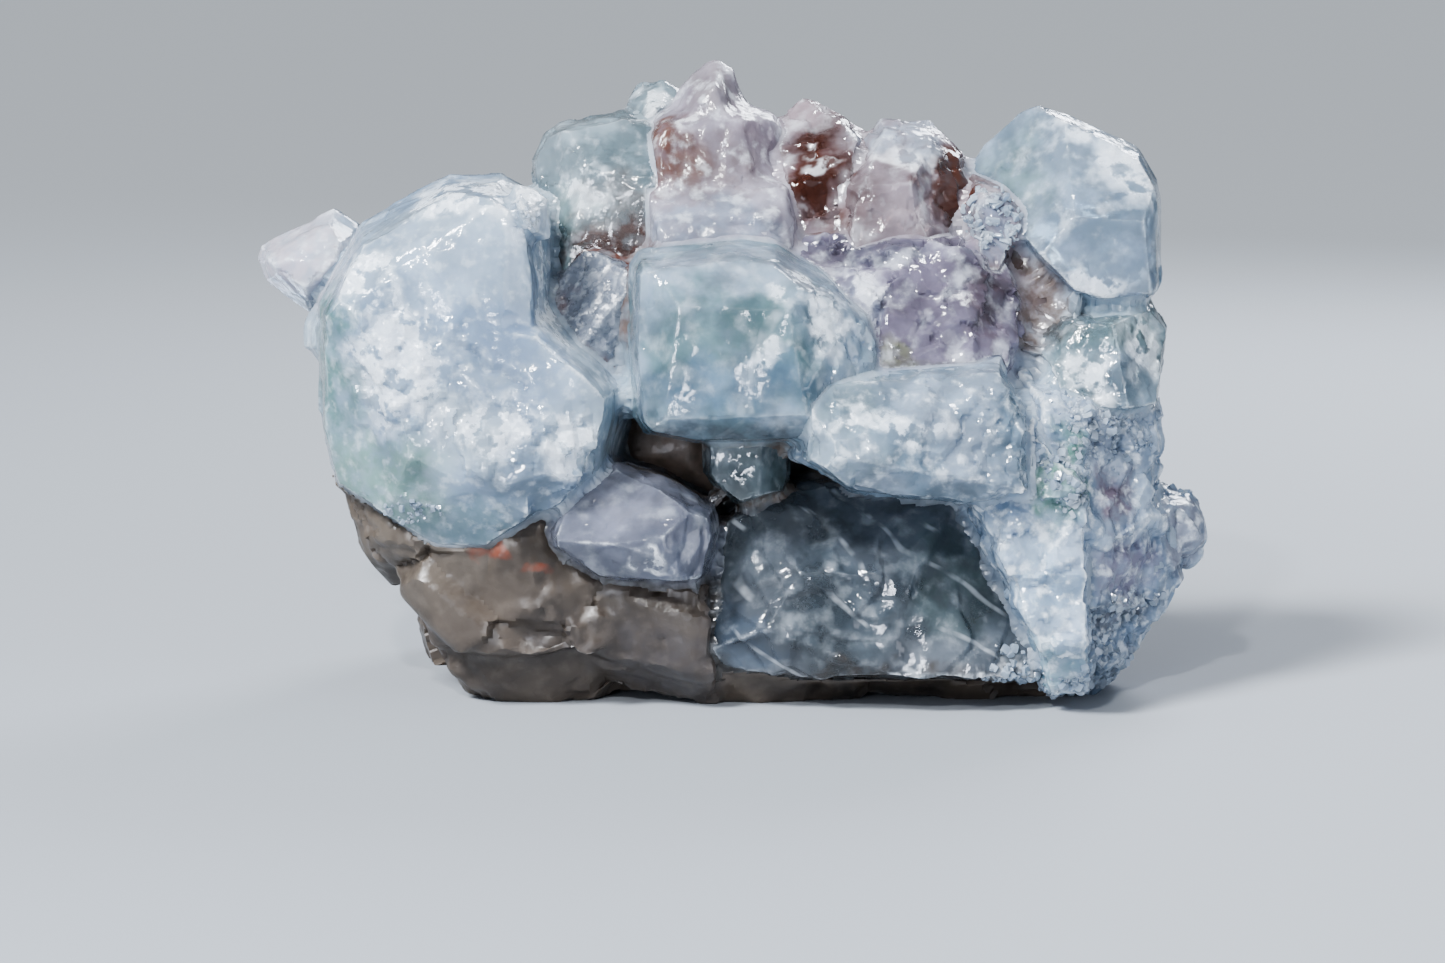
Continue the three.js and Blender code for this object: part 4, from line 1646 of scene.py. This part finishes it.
# Apophyllite, a small clean block in the shade: clear grey glass.
HANGING_FINISH = MineralFinish(
    name="clear_apophyllite", body="#7b8b8e", cloudy="#94a2a8", clarity=0.7, gloss=0.07,
    frost_clarity=0.3, stain="#b5cbc6", stain_density=50, wisp=0.35,
)

# Heulandite: a pearly, rose-grey crystal, brown where limonite has crept in.
PEAK_FINISH = MineralFinish(
    name="rose_heulandite", body="#9a909c", cloudy="#b8b5c2", clarity=0.5, gloss=0.2,
    frost_clarity=0.12, frost_gloss=0.34, milk=0.6, stain="#d0b8b4", stain_density=45,
    ior=IOR_HEULANDITE, wisp=0.5, wisp_size=1.7, facet_tilt=0.12,
    tints=(
        Tint(Spot((0.19, 0.24, 0.6), (4, 9, 4.8)), "#7a5245", 1),
        Tint(Spot((0.45, 0.15, 0.52), (6, 8, 5)), "#8c7e7e", 0.65),
        # A darker band in the fold of the skirt: painted shade of the crease.
        Tint(Spot((0.7, 0.03, 0.25), (5, 6, 2)), "#5f6271", 0.75),
        Tint(Spot((0.42, 0.06, 0.24), (10, 7, 4.2)), "#9fa9bb", 0.85),
        Tint(Spot((0.46, 0.4, 0.92), (4, 7, 4)), "#ada7ac", 0.7),
    ),
    frost=(Spot((0.36, 0.35, 0.72), (1.6, 4, 1.6)),),
)

# Heulandite soaked with limonite under clean faces: brown glass with pale, pearly heads.
CROWN_FINISH = MineralFinish(
    name="brown_heulandite", body="#8c7e82", cloudy="#a79ca5", clarity=0.55, gloss=0.08,
    frost_gloss=0.22, milk=0.55, milk_depth=2.5, stain="#c09a8c", stain_density=60,
    ior=IOR_HEULANDITE,
    tints=(
        Tint(Spot((0.15, 0.22, 0.67), (4.2, 10, 5.2)), "#4f2c22", 1, deep=True),
        Tint(Spot((0.08, 0.45, 0.96), (3.2, 9, 2.2)), "#a5979e", 0.9),
        Tint(Spot((0.62, 0.24, 0.64), (2.6, 9, 4.6)), "#5f3b2e", 0.95, deep=True),
        Tint(Spot((0.5, 0.28, 0.86), (6.6, 10, 3)), "#b2bbca", 1),
        Tint(Spot((0.38, 0.06, 0.5), (4.4, 7, 4)), "#a99ea5", 0.9),
        Tint(Spot((0.25, 0.15, 0.52), (1.8, 7, 3.5)), "#9b8b8f", 0.8),
        Tint(Spot((0.75, 0.09, 0.48), (3, 6, 4)), "#8c98ae", 0.85),
        Tint(Spot((0.86, 0.12, 0.18), (5, 9, 5)), "#6f5f58", 1),
        Tint(Spot((0.5, 0.8, 0.5), (17, 10, 14)), "#735c55", 0.6),
    ),
    frost=(Spot((0.45, 0.18, 0.77), (4.4, 4, 1.6)), Spot((0.16, 0.24, 0.74), (2.2, 4, 1))),
)

# Heulandite in stepped sheets: mauve and pearly, white where the sheets have chipped.
MAUVE_FINISH = MineralFinish(
    name="mauve_heulandite", body="#746d7e", cloudy="#948fa5", clarity=0.6, gloss=0.13,
    frost_clarity=0.12, frost_gloss=0.34, milk=0.55, stain="#a294a8", stain_density=65,
    ior=IOR_HEULANDITE, wisp=0.5,
    tints=(
        Tint(Spot((0.47, 0.05, 0.24), (3.4, 5, 2)), "#8e8f7c", 0.85),
        Tint(Spot((0.3, 0.2, 0.88), (9, 8, 2)), "#606273", 0.75),
        Tint(Spot((0.22, 0.1, 0.55), (4, 6, 4)), "#a3aec3", 0.7),
        Tint(Spot((0.85, 0.15, 0.6), (4, 6, 5)), "#6e5c63", 0.7),
    ),
    frost=(Spot((0.3, 0.12, 0.68), (2.5, 4, 1.6)), Spot((0.7, 0.12, 0.62), (2, 4, 1.4))),
)

# Small clear apophyllite crystals: sharp, bright and see-through.
GRAIN_FINISH = MineralFinish(
    name="grain_apophyllite", body="#9daec1", cloudy="#beccdc", clarity=0.5, gloss=0.08,
    frost_clarity=0.3, frost_gloss=0.2, milk_depth=1, stain="#dfe8ee", stain_density=20, facet=1,
    facet_tilt=0.1,
)

# Apophyllite sugar grown in the seams: fine and dull, brown where limonite has settled, near-black
# along the foot as painted shade and a lighter brown in the cavity as painted light.
CRUST_FINISH = MineralFinish(
    name="seam_apophyllite", body="#8696a5", cloudy="#dbe3ea", clarity=0.35, gloss=0.2,
    frost_clarity=0.1, frost_gloss=0.4, milk=0.6, milk_depth=1.8, cloud_size=3, wisp=0.25,
    wisp_size=1.2, toned=True, facet_tilt=0.1,
    tints=(
        Tint(Spot((0.37, 0.35, 0.7), (6.5, 16, 3.4)), "#5e3322", 0.95),
        Tint(Spot((0.41, 0.3, 0.6), (3, 14, 5)), "#6b5346", 0.85),
        # Lighter brown in the cavity: painted light where the lamps reach little.
        Tint(Spot((0.5, 0.3, 0.35), (13, 16, 5)), "#7d6d61", 0.9),
        # Near-black along the foot of the specimen: painted shade.
        Tint(Spot((0.6, 0.35, 0.04), (24, 16, 4)), "#2f2a26", 0.95),
        Tint(Spot((0.27, 0.25, 0.16), (20, 18, 7)), "#50473f", 0.95),
        Tint(Spot((0.47, 0.2, 0.12), (4, 14, 7)), "#4a4540", 0.9),
        Tint(Spot((0.81, 0.4, 0.62), (4, 14, 6)), "#6b5b53", 0.9),
        Tint(Spot((0.6, 0.45, 0.76), (3, 14, 6)), "#5b3a30", 0.8),
        Tint(Spot((0.5, 0.9, 0.4), (60, 18, 34)), "#716761", 0.7),
    ),
)

# Matrix: a broken brownish-grey zeolite rock, faintly see-through and waxy where it broke. Its body
# colours are the rock's brown-grey darkened as painted shade, for the shade that it lies in.
MATRIX_FINISH = MineralFinish(
    name="broken_matrix", body="#463e37", cloudy="#595047", clarity=0.2, gloss=0.4, frost_clarity=0,
    frost_gloss=0.5, milk=0.55, milk_depth=2.2, stain="#9a8b7d", stain_density=150, cloud_size=9,
    wisp=0.12, wisp_size=1.8, rim=0.16, haze="#9c9187", facet=0.7, facet_tilt=0.05, frost_tilt=0.3,
    tints=(
        Tint(Spot((0.12, 0.03, 0.33), (8, 8, 7)), "#675f56", 0.8),
        Tint(Spot((0.22, 0.01, 0.2), (9, 8, 5)), "#5c534b", 0.6),
        Tint(Spot((0.2, 0.01, 0.33), (1.6, 4, 1.2)), "#7b3d29", 0.9),
        Tint(Spot((0.25, 0, 0.3), (1.2, 4, 0.9)), "#7b3d29", 0.8),
        Tint(Spot((0.31, 0, 0.15), (6, 6, 5)), "#3f3935", 0.85),
        Tint(Spot((0.42, 0.05, 0.1), (8, 7, 6)), "#4b484a", 0.7),
        # Near-black along the foot: painted shade where the rock meets the floor.
        Tint(Spot((0.65, 0.2, 0.02), (14, 9, 2)), "#2b2826", 0.9),
        # The rock's brown in the cavity, lightened as painted light where the lamps reach little.
        Tint(Spot((0.4, 0.3, 0.48), (12, 8, 9)), "#857468", 0.9),
        Tint(Spot((0.12, 0.2, 0.16), (4, 6, 4)), "#5e4c3f", 0.8),
        Tint(Spot((0.9, 0.3, 0.7), (7, 9, 7)), "#62554d", 0.7),
        Tint(Spot((0.3, 0.95, 0.55), (12, 10, 10)), "#675b50", 0.7),
        Tint(Spot((0.72, 0.95, 0.35), (12, 10, 9)), "#3f3732", 0.7),
        Tint(Spot((0.55, 0.9, 0.9), (26, 12, 6)), "#6e645d", 0.8),
    ),
)


def crystals() -> list[Crystal]:
    """Every crystal of the specimen and its matrix, with their sizes and surfaces.

    Returns:
        The crystals in the order in which they are built.
    """
    broken_front = (
        Spot((0.43, 0.04, 0.52), (6.5, 7, 8)),
        Spot((0.68, 0.02, 0.36), (6, 5, 5)),
        Spot((0.85, 0.03, 0.3), (5, 5, 5)),
    )
    return [
        Crystal("apophyllite_left", LEFT_FINISH, voxel=0.3, reliefs=(
            Waviness(size=9, depth=0.28, seed=11),
            GrowthSteps(size=9, levels=6, depth=0.35, seed=12),
            GrowthSteps(spots=broken_front, size=5.5, levels=5, depth=0.9, seed=13),
            BrokenFacets(spots=broken_front, cell=2, slope=0.34, step=0.14, seed=14),
            BrokenFacets(cell=5, slope=0.06, step=0.03, seed=15),
            Groove(start=(0.57, 0.05, 0.61), end=(0.64, 0.05, 0.53), width=0.7, depth=0.8),
            Groove(start=(0.66, 0.04, 0.52), end=(0.74, 0.04, 0.47), width=0.6, depth=0.7),
            Chips(depth=0.4, seed=16),
        )),
        Crystal("apophyllite_centre", CENTRE_FINISH, voxel=0.28, reliefs=(
            Waviness(size=7, depth=0.18, seed=21),
            GrowthSteps(size=8, levels=5, depth=0.22, seed=22),
            BrokenFacets(cell=4.4, slope=0.05, step=0.02, seed=23),
            BrokenFacets(
                spots=(Spot((0.84, 0.2, 0.62), (5, 8, 7)),), cell=1.5, slope=0.28, step=0.1,
                seed=24,
            ),
            Chips(depth=0.35, seed=25),
        )),
        Crystal("apophyllite_ledge", LEDGE_FINISH, voxel=0.28, reliefs=(
            Waviness(size=6, depth=0.3, seed=31),
            GrowthSteps(size=6, levels=5, depth=0.5, seed=32),
            BrokenFacets(cell=3.4, slope=0.13, step=0.07, seed=33),
            BrokenFacets(
                spots=(Spot((0.9, 0.2, 0.5), (6, 7, 7)),), cell=1.4, slope=0.4, step=0.15, seed=35,
            ),
            Chips(depth=0.5, seed=34),
        )),
        Crystal("apophyllite_right_top", RIGHT_TOP_FINISH, reliefs=(
            Waviness(size=7, depth=0.14, seed=41),
            GrowthSteps(size=7, levels=4, depth=0.12, seed=42),
            BrokenFacets(cell=5, slope=0.05, step=0.02, seed=43),
            Chips(depth=0.3, seed=44),
        )),
        Crystal("apophyllite_right_lower", RIGHT_LOWER_FINISH, reliefs=(
            Waviness(size=5, depth=0.2, seed=51),
            GrowthSteps(size=5, levels=4, depth=0.2, seed=52),
            BrokenFacets(cell=1.8, slope=0.16, step=0.05, seed=53),
            Chips(depth=0.3, seed=54),
        )),
        Crystal("apophyllite_upper_left", UPPER_LEFT_FINISH, reliefs=(
            Waviness(size=6, depth=0.2, seed=61),
            GrowthSteps(size=6, levels=4, depth=0.2, seed=62),
            BrokenFacets(cell=3, slope=0.12, step=0.05, seed=63),
            Chips(depth=0.35, seed=64),
        )),
        Crystal("apophyllite_notch", NOTCH_FINISH, reliefs=(
            Waviness(size=4, depth=0.3, seed=71),
            BrokenFacets(cell=1.8, slope=0.26, step=0.1, seed=72),
            Chips(depth=0.3, seed=73),
        )),
        Crystal("apophyllite_hanging", HANGING_FINISH, voxel=0.24, reliefs=(
            Waviness(size=4, depth=0.12, seed=81),
            BrokenFacets(cell=2.2, slope=0.08, step=0.03, seed=82),
            Chips(depth=0.3, seed=83),
        )),
        Crystal("apophyllite_lower_left", LOWER_LEFT_FINISH, reliefs=(
            Waviness(size=5, depth=0.2, seed=91),
            ShellFracture(start=(0.2, 0, 1), spacing=3.2, depth=0.05, seed=92),
            BrokenFacets(cell=3, slope=0.09, step=0.03, seed=93),
            Chips(depth=0.3, seed=94),
        )),
        Crystal("apophyllite_lower_centre", LOWER_CENTRE_FINISH, voxel=0.28, reliefs=(
            Waviness(size=8, depth=0.4, seed=101),
            ShellFracture(start=(0.1, 0, 1.1), spacing=4.2, depth=0.2, seed=102),
            ShellFracture(
                spots=(Spot((0.3, 0.05, 0.4), (9, 9, 9)),), start=(0.55, 0, 0.9), spacing=2.4,
                depth=0.14, seed=103,
            ),
            BrokenFacets(
                spots=(Spot((0.92, 0.1, 0.1), (7, 6, 4)),), cell=1.5, slope=0.3, step=0.15,
                seed=104,
            ),
            Chips(depth=0.4, seed=105),
        )),
        Crystal("apophyllite_druse", DRUSE_FINISH, voxel=0.3, fill=12, reliefs=(
            Waviness(size=7, depth=0.6, seed=111),
            GrowthSteps(size=5, levels=5, depth=0.5, seed=112),
            BrokenFacets(cell=3, slope=0.36, step=0.22, seed=113),
            BrokenFacets(
                spots=(
                    Spot((0.62, 0.15, 0.86), (8, 10, 6)),
                    Spot((0.38, 0.06, 0.7), (3, 6, 5)),
                    Spot((0.6, 0.25, 0.22), (8, 9, 5)),
                    Spot((0.6, 0.8, 0.5), (14, 12, 18)),
                ),
                cell=1.1, slope=0.5, step=0.16, seam=0.4, seed=114,
            ),
            Striae(
                spots=(Spot((0.25, 0.05, 0.35), (5, 8, 12)),), along=(-0.45, 0, 1), spacing=1.6,
                depth=0.22, seed=115,
            ),
        )),
        Crystal("heulandite_peak", PEAK_FINISH,
                slot="heulandite", wear=14, fill=140, edge_angle=22, reliefs=(
            Waviness(size=5, depth=0.22, seed=121),
            Striae(along=(0.1, 0.1, 1), spacing=0.8, depth=0.1, seed=122),
            BrokenFacets(cell=2.2, slope=0.11, step=0.04, seed=123),
            Groove(start=(0.35, 0, 0.3), end=(0.95, 0.05, 0.24), width=0.6, depth=0.5),
            Chips(depth=0.25, seed=124),
        )),
        Crystal("heulandite_crown", CROWN_FINISH, slot="heulandite", reliefs=(
            Waviness(size=4.5, depth=0.25, seed=131),
            Striae(along=(1, 0.2, 0.3), spacing=0.8, depth=0.1, seed=132),
            GrowthSteps(size=4, levels=5, depth=0.3, seed=133),
            BrokenFacets(cell=2.8, slope=0.2, step=0.1, seed=134),
            Chips(depth=0.35, seed=135),
        )),
        Crystal("heulandite_centre", MAUVE_FINISH, slot="heulandite", reliefs=(
            Waviness(size=5, depth=0.3, seed=141),
            Striae(along=(1, 0.1, 0.15), depth=0.08, seed=142),
            GrowthSteps(size=6, levels=5, depth=0.6, seed=145),
            BrokenFacets(cell=3.2, slope=0.34, step=0.22, seed=143),
            Chips(depth=0.3, seed=144),
        )),
        Crystal("matrix", MATRIX_FINISH,
                voxel=0.5, slot="matrix", wear=2, edge_angle=28, crisp=False, reliefs=(
            Waviness(size=12, depth=0.8, seed=151),
            BrokenFacets(cell=11, slope=0.2, step=0.35, seam=1.6, seed=153),
            BrokenFacets(cell=3.6, slope=0.14, step=0.08, seed=154),
            BrokenFacets(cell=1.5, slope=0.16, step=0.04, seam=0.5, seed=156),
            GrowthSteps(size=5, levels=5, depth=0.12, seed=152),
            Chips(depth=0.8, size=3, seed=155),
        )),
    ]


def inner_cracks() -> list[InnerCracks]:
    """The healed cracks inside the clear crystals.

    Returns:
        One group of cracks for each crystal that has any.
    """
    return [
        InnerCracks(
            "apophyllite_lower_centre", 18, (4, 9), 201, (1.3, 1.2, 0), slender=0.09, opacity=0.6
        ),
        InnerCracks("apophyllite_right_top", 6, (5, 10), 202, (0.9, 0.3, 0.2)),
        InnerCracks("apophyllite_centre", 4, (6, 11), 203, (0.4, 0.2, 0), opacity=0.15),
        InnerCracks("apophyllite_left", 8, (6, 12), 204, (0.8, 0.5, 0)),
        InnerCracks("apophyllite_upper_left", 5, (4, 8), 205, (1, 0.4, 0)),
        InnerCracks("apophyllite_hanging", 4, (2, 5), 206, (1.2, 0.1, 0)),
        InnerCracks("apophyllite_lower_left", 4, (3, 7), 207, (1.2, 0.1, 0)),
        InnerCracks("apophyllite_right_lower", 4, (3, 7), 208, (1, 0.2, 0)),
    ]


def seam_crust() -> SeamCrust:
    """The crust in the seams, each part of it in the colour of the crystal next to it.

    Returns:
        The crust, ready to build.
    """
    reliefs = (
        Waviness(size=2.2, depth=0.16, seed=161),
        BrokenFacets(cell=0.9, slope=0.5, step=0.12, seam=0.3, seed=162),
    )
    tones = {
        each.node: (np.array(linear(each.finish.body)) + linear(each.finish.cloudy))[:3] / 2
        for each in crystals()
    }
    return SeamCrust(CRUST_FINISH, reliefs, tones, (Spot((0.815, 0.3, 0.59), (5, 14, 7)),))


def small_crystals() -> list[SmallCrystals]:
    """The crusts of small crystals.

    Returns:
        One crust for each large crystal that carries any.
    """
    druse = (
        Spot((0.62, 0.15, 0.86), (8, 10, 6)),
        Spot((0.38, 0.06, 0.7), (3, 6, 4)),
        Spot((0.6, 0.25, 0.27), (7, 9, 2)),
        Spot((0.5, 0.25, 0.1), (7, 9, 4)),
        Spot((0.6, 0.8, 0.5), (13, 11, 17)),
    )
    crown = (Spot((0.76, 0.08, 0.5), (3.5, 6, 4)),)
    centre = (Spot((0.93, 0.1, 0.1), (4.5, 5, 3)),)
    left = (Spot((0.74, 0.11, 0.92), (2.2, 4, 2.4)), Spot((0.45, 0.08, 0.14), (3.5, 4, 1.6)))
    made = partial(SmallCrystals, GRAIN_FINISH)
    return [
        made("druse_grains", "apophyllite_druse", druse, 1400, (0.25, 1), 301, sunk=0.55),
        made("crown_flank_grains", "heulandite_crown", crown, 130, (0.3, 1), 302, Habit.TABLET),
        made("lower_centre_grains", "apophyllite_lower_centre", centre, 90, (0.3, 1), 303),
        made("left_block_grains", "apophyllite_left", left, 70, (0.25, 0.7), 304),
    ]


# ---- studio -------------------------------------------------------------------------------------


@dataclass(frozen=True)
class SoftLight:
    """A square soft light, with its place and width in millimetres and its power in watts."""

    name: str
    place: Triple
    width: float
    power: float
    colour: str


def hang(data: bpy.types.Light, place: Vector, way: Vector) -> None:
    """Hangs a lamp.

    Args:
        data: Its light.
        place: Where it hangs, in metres.
        way: The way that it shines.
    """
    lamp = bpy.data.objects.new(data.name, data)
    bpy.context.scene.collection.objects.link(lamp)
    lamp.location = place
    lamp.rotation_euler = way.to_track_quat("-Z", "Y").to_euler()


@dataclass(frozen=True)
class Studio:
    """The floor, the soft lights and the camera.

    `target` and `distance` are in millimetres, `elevation` and `daylight_width` in degrees.
    """

    floor_colour: str = "#9da2a8"
    target: Triple = (-0.95, -0.71, 21.8)
    distance: float = 450.0
    elevation: float = 8.0
    lens: float = 101.92
    daylight: float = 4.7
    daylight_width: float = 14.0
    lights: tuple[SoftLight, ...] = (
        SoftLight("key", (-300, -300, 420), 120, 1.6, "#e4efff"),
        SoftLight("fill", (420, -330, 160), 260, 0.7, "#eef2ff"),
        SoftLight("rim", (190, 360, 300), 200, 1.6, "#f2f6ff"),
        SoftLight("glint", (-90, -420, 330), 24, 1.4, "#ffffff"),
        SoftLight("front", (-130, -450, 95), 80, 0.6, "#eef3ff"),
    )

    FLOOR_SIZE: ClassVar[float] = 16.0  # metres
    FLOOR_CELLS: ClassVar[int] = 4
    FLOOR_GLOSS: ClassVar[float] = 0.75
    SUN_WAY: ClassVar[Triple] = (0.55, 0.5, -0.85)  # the way that the daylight falls
    SKY_COLOUR: ClassVar[str] = "#dfe6ee"
    SKY_STRENGTH: ClassVar[float] = 0.22
    LOOK: ClassVar[str] = "AgX - Medium High Contrast"
    SENSOR: ClassVar[float] = 36.0
    CLIP: ClassVar[tuple[float, float]] = (0.01, 30.0)  # metres

    def lay_floor(self) -> None:
        """Lays a wide pale floor."""
        cells = self.FLOOR_CELLS
        bpy.ops.object.select_all(action="DESELECT")
        bpy.ops.mesh.primitive_grid_add(
            x_subdivisions=cells, y_subdivisions=cells, size=self.FLOOR_SIZE
        )
        floor = bpy.context.active_object
        floor.name = "floor"
        # Matt grey paper: an even colour with a high roughness, so that it takes soft shadows only.
        material, add = blank_material("matt_paper_floor")
        paper = {"Base Color": linear(self.floor_colour), "Roughness": self.FLOOR_GLOSS}
        add("OutputMaterial", {"Surface": add("BsdfPrincipled", paper)})
        coat(floor, material)

    def hang_lights(self) -> None:
        """Hangs the square soft lights, each turned to the specimen, and the wide daylight."""
        aim = Vector(self.target) * MM
        for light in self.lights:
            data = bpy.data.lights.new(light.name, "AREA")
            data.shape = "SQUARE"
            data.size = light.width * MM
            data.energy = light.power
            data.color = linear(light.colour)[:3]
            place = Vector(light.place) * MM
            hang(data, place, aim - place)
        sun = bpy.data.lights.new("daylight", "SUN")
        sun.energy = self.daylight
        sun.angle = math.radians(self.daylight_width)
        hang(sun, Vector(), Vector(self.SUN_WAY))

    def paint_sky(self) -> None:
        """Fills the room with a faint even light, and sets the view's contrast."""
        world = bpy.data.worlds.new("pale_room")
        world.use_nodes = True
        sky = world.node_tree.nodes["Background"]
        sky.inputs["Color"].default_value = linear(self.SKY_COLOUR)
        sky.inputs["Strength"].default_value = self.SKY_STRENGTH
        bpy.context.scene.world = world
        bpy.context.scene.view_settings.look = self.LOOK

    def set_camera(self) -> None:
        """Sets the camera in front, a little above the specimen."""
        data = bpy.data.cameras.new("camera")
        data.sensor_width, data.lens = self.SENSOR, self.lens
        data.clip_start, data.clip_end = self.CLIP
        camera = bpy.data.objects.new("camera", data)
        bpy.context.scene.collection.objects.link(camera)
        lift = math.radians(self.elevation)
        back = Vector((0, -math.cos(lift), math.sin(lift))) * self.distance
        camera.location = (Vector(self.target) + back) * MM
        camera.rotation_euler = (math.pi / 2 - lift, 0, 0)
        bpy.context.scene.camera = camera

    def build(self) -> None:
        """Builds the whole studio."""
        self.lay_floor()
        self.hang_lights()
        self.paint_sky()
        self.set_camera()


def main() -> None:
    """Builds the specimen and its studio, in order."""
    logging.basicConfig(level=logging.INFO, format="%(name)s: %(message)s")
    Studio().build()
    grown: dict[str, bpy.types.Object] = {}
    for crystal in crystals():
        grown[crystal.node] = crystal.build()
        crystal.dress(grown[crystal.node])
    for cracks in inner_cracks():
        piece = cracks.build()
        if piece:
            cracks.dress(piece)
    seams = seam_crust()
    seams.dress(seams.build())
    for crust in small_crystals():
        crust.dress(crust.build(grown[crust.host]))


if __name__ == "__main__":
    main()
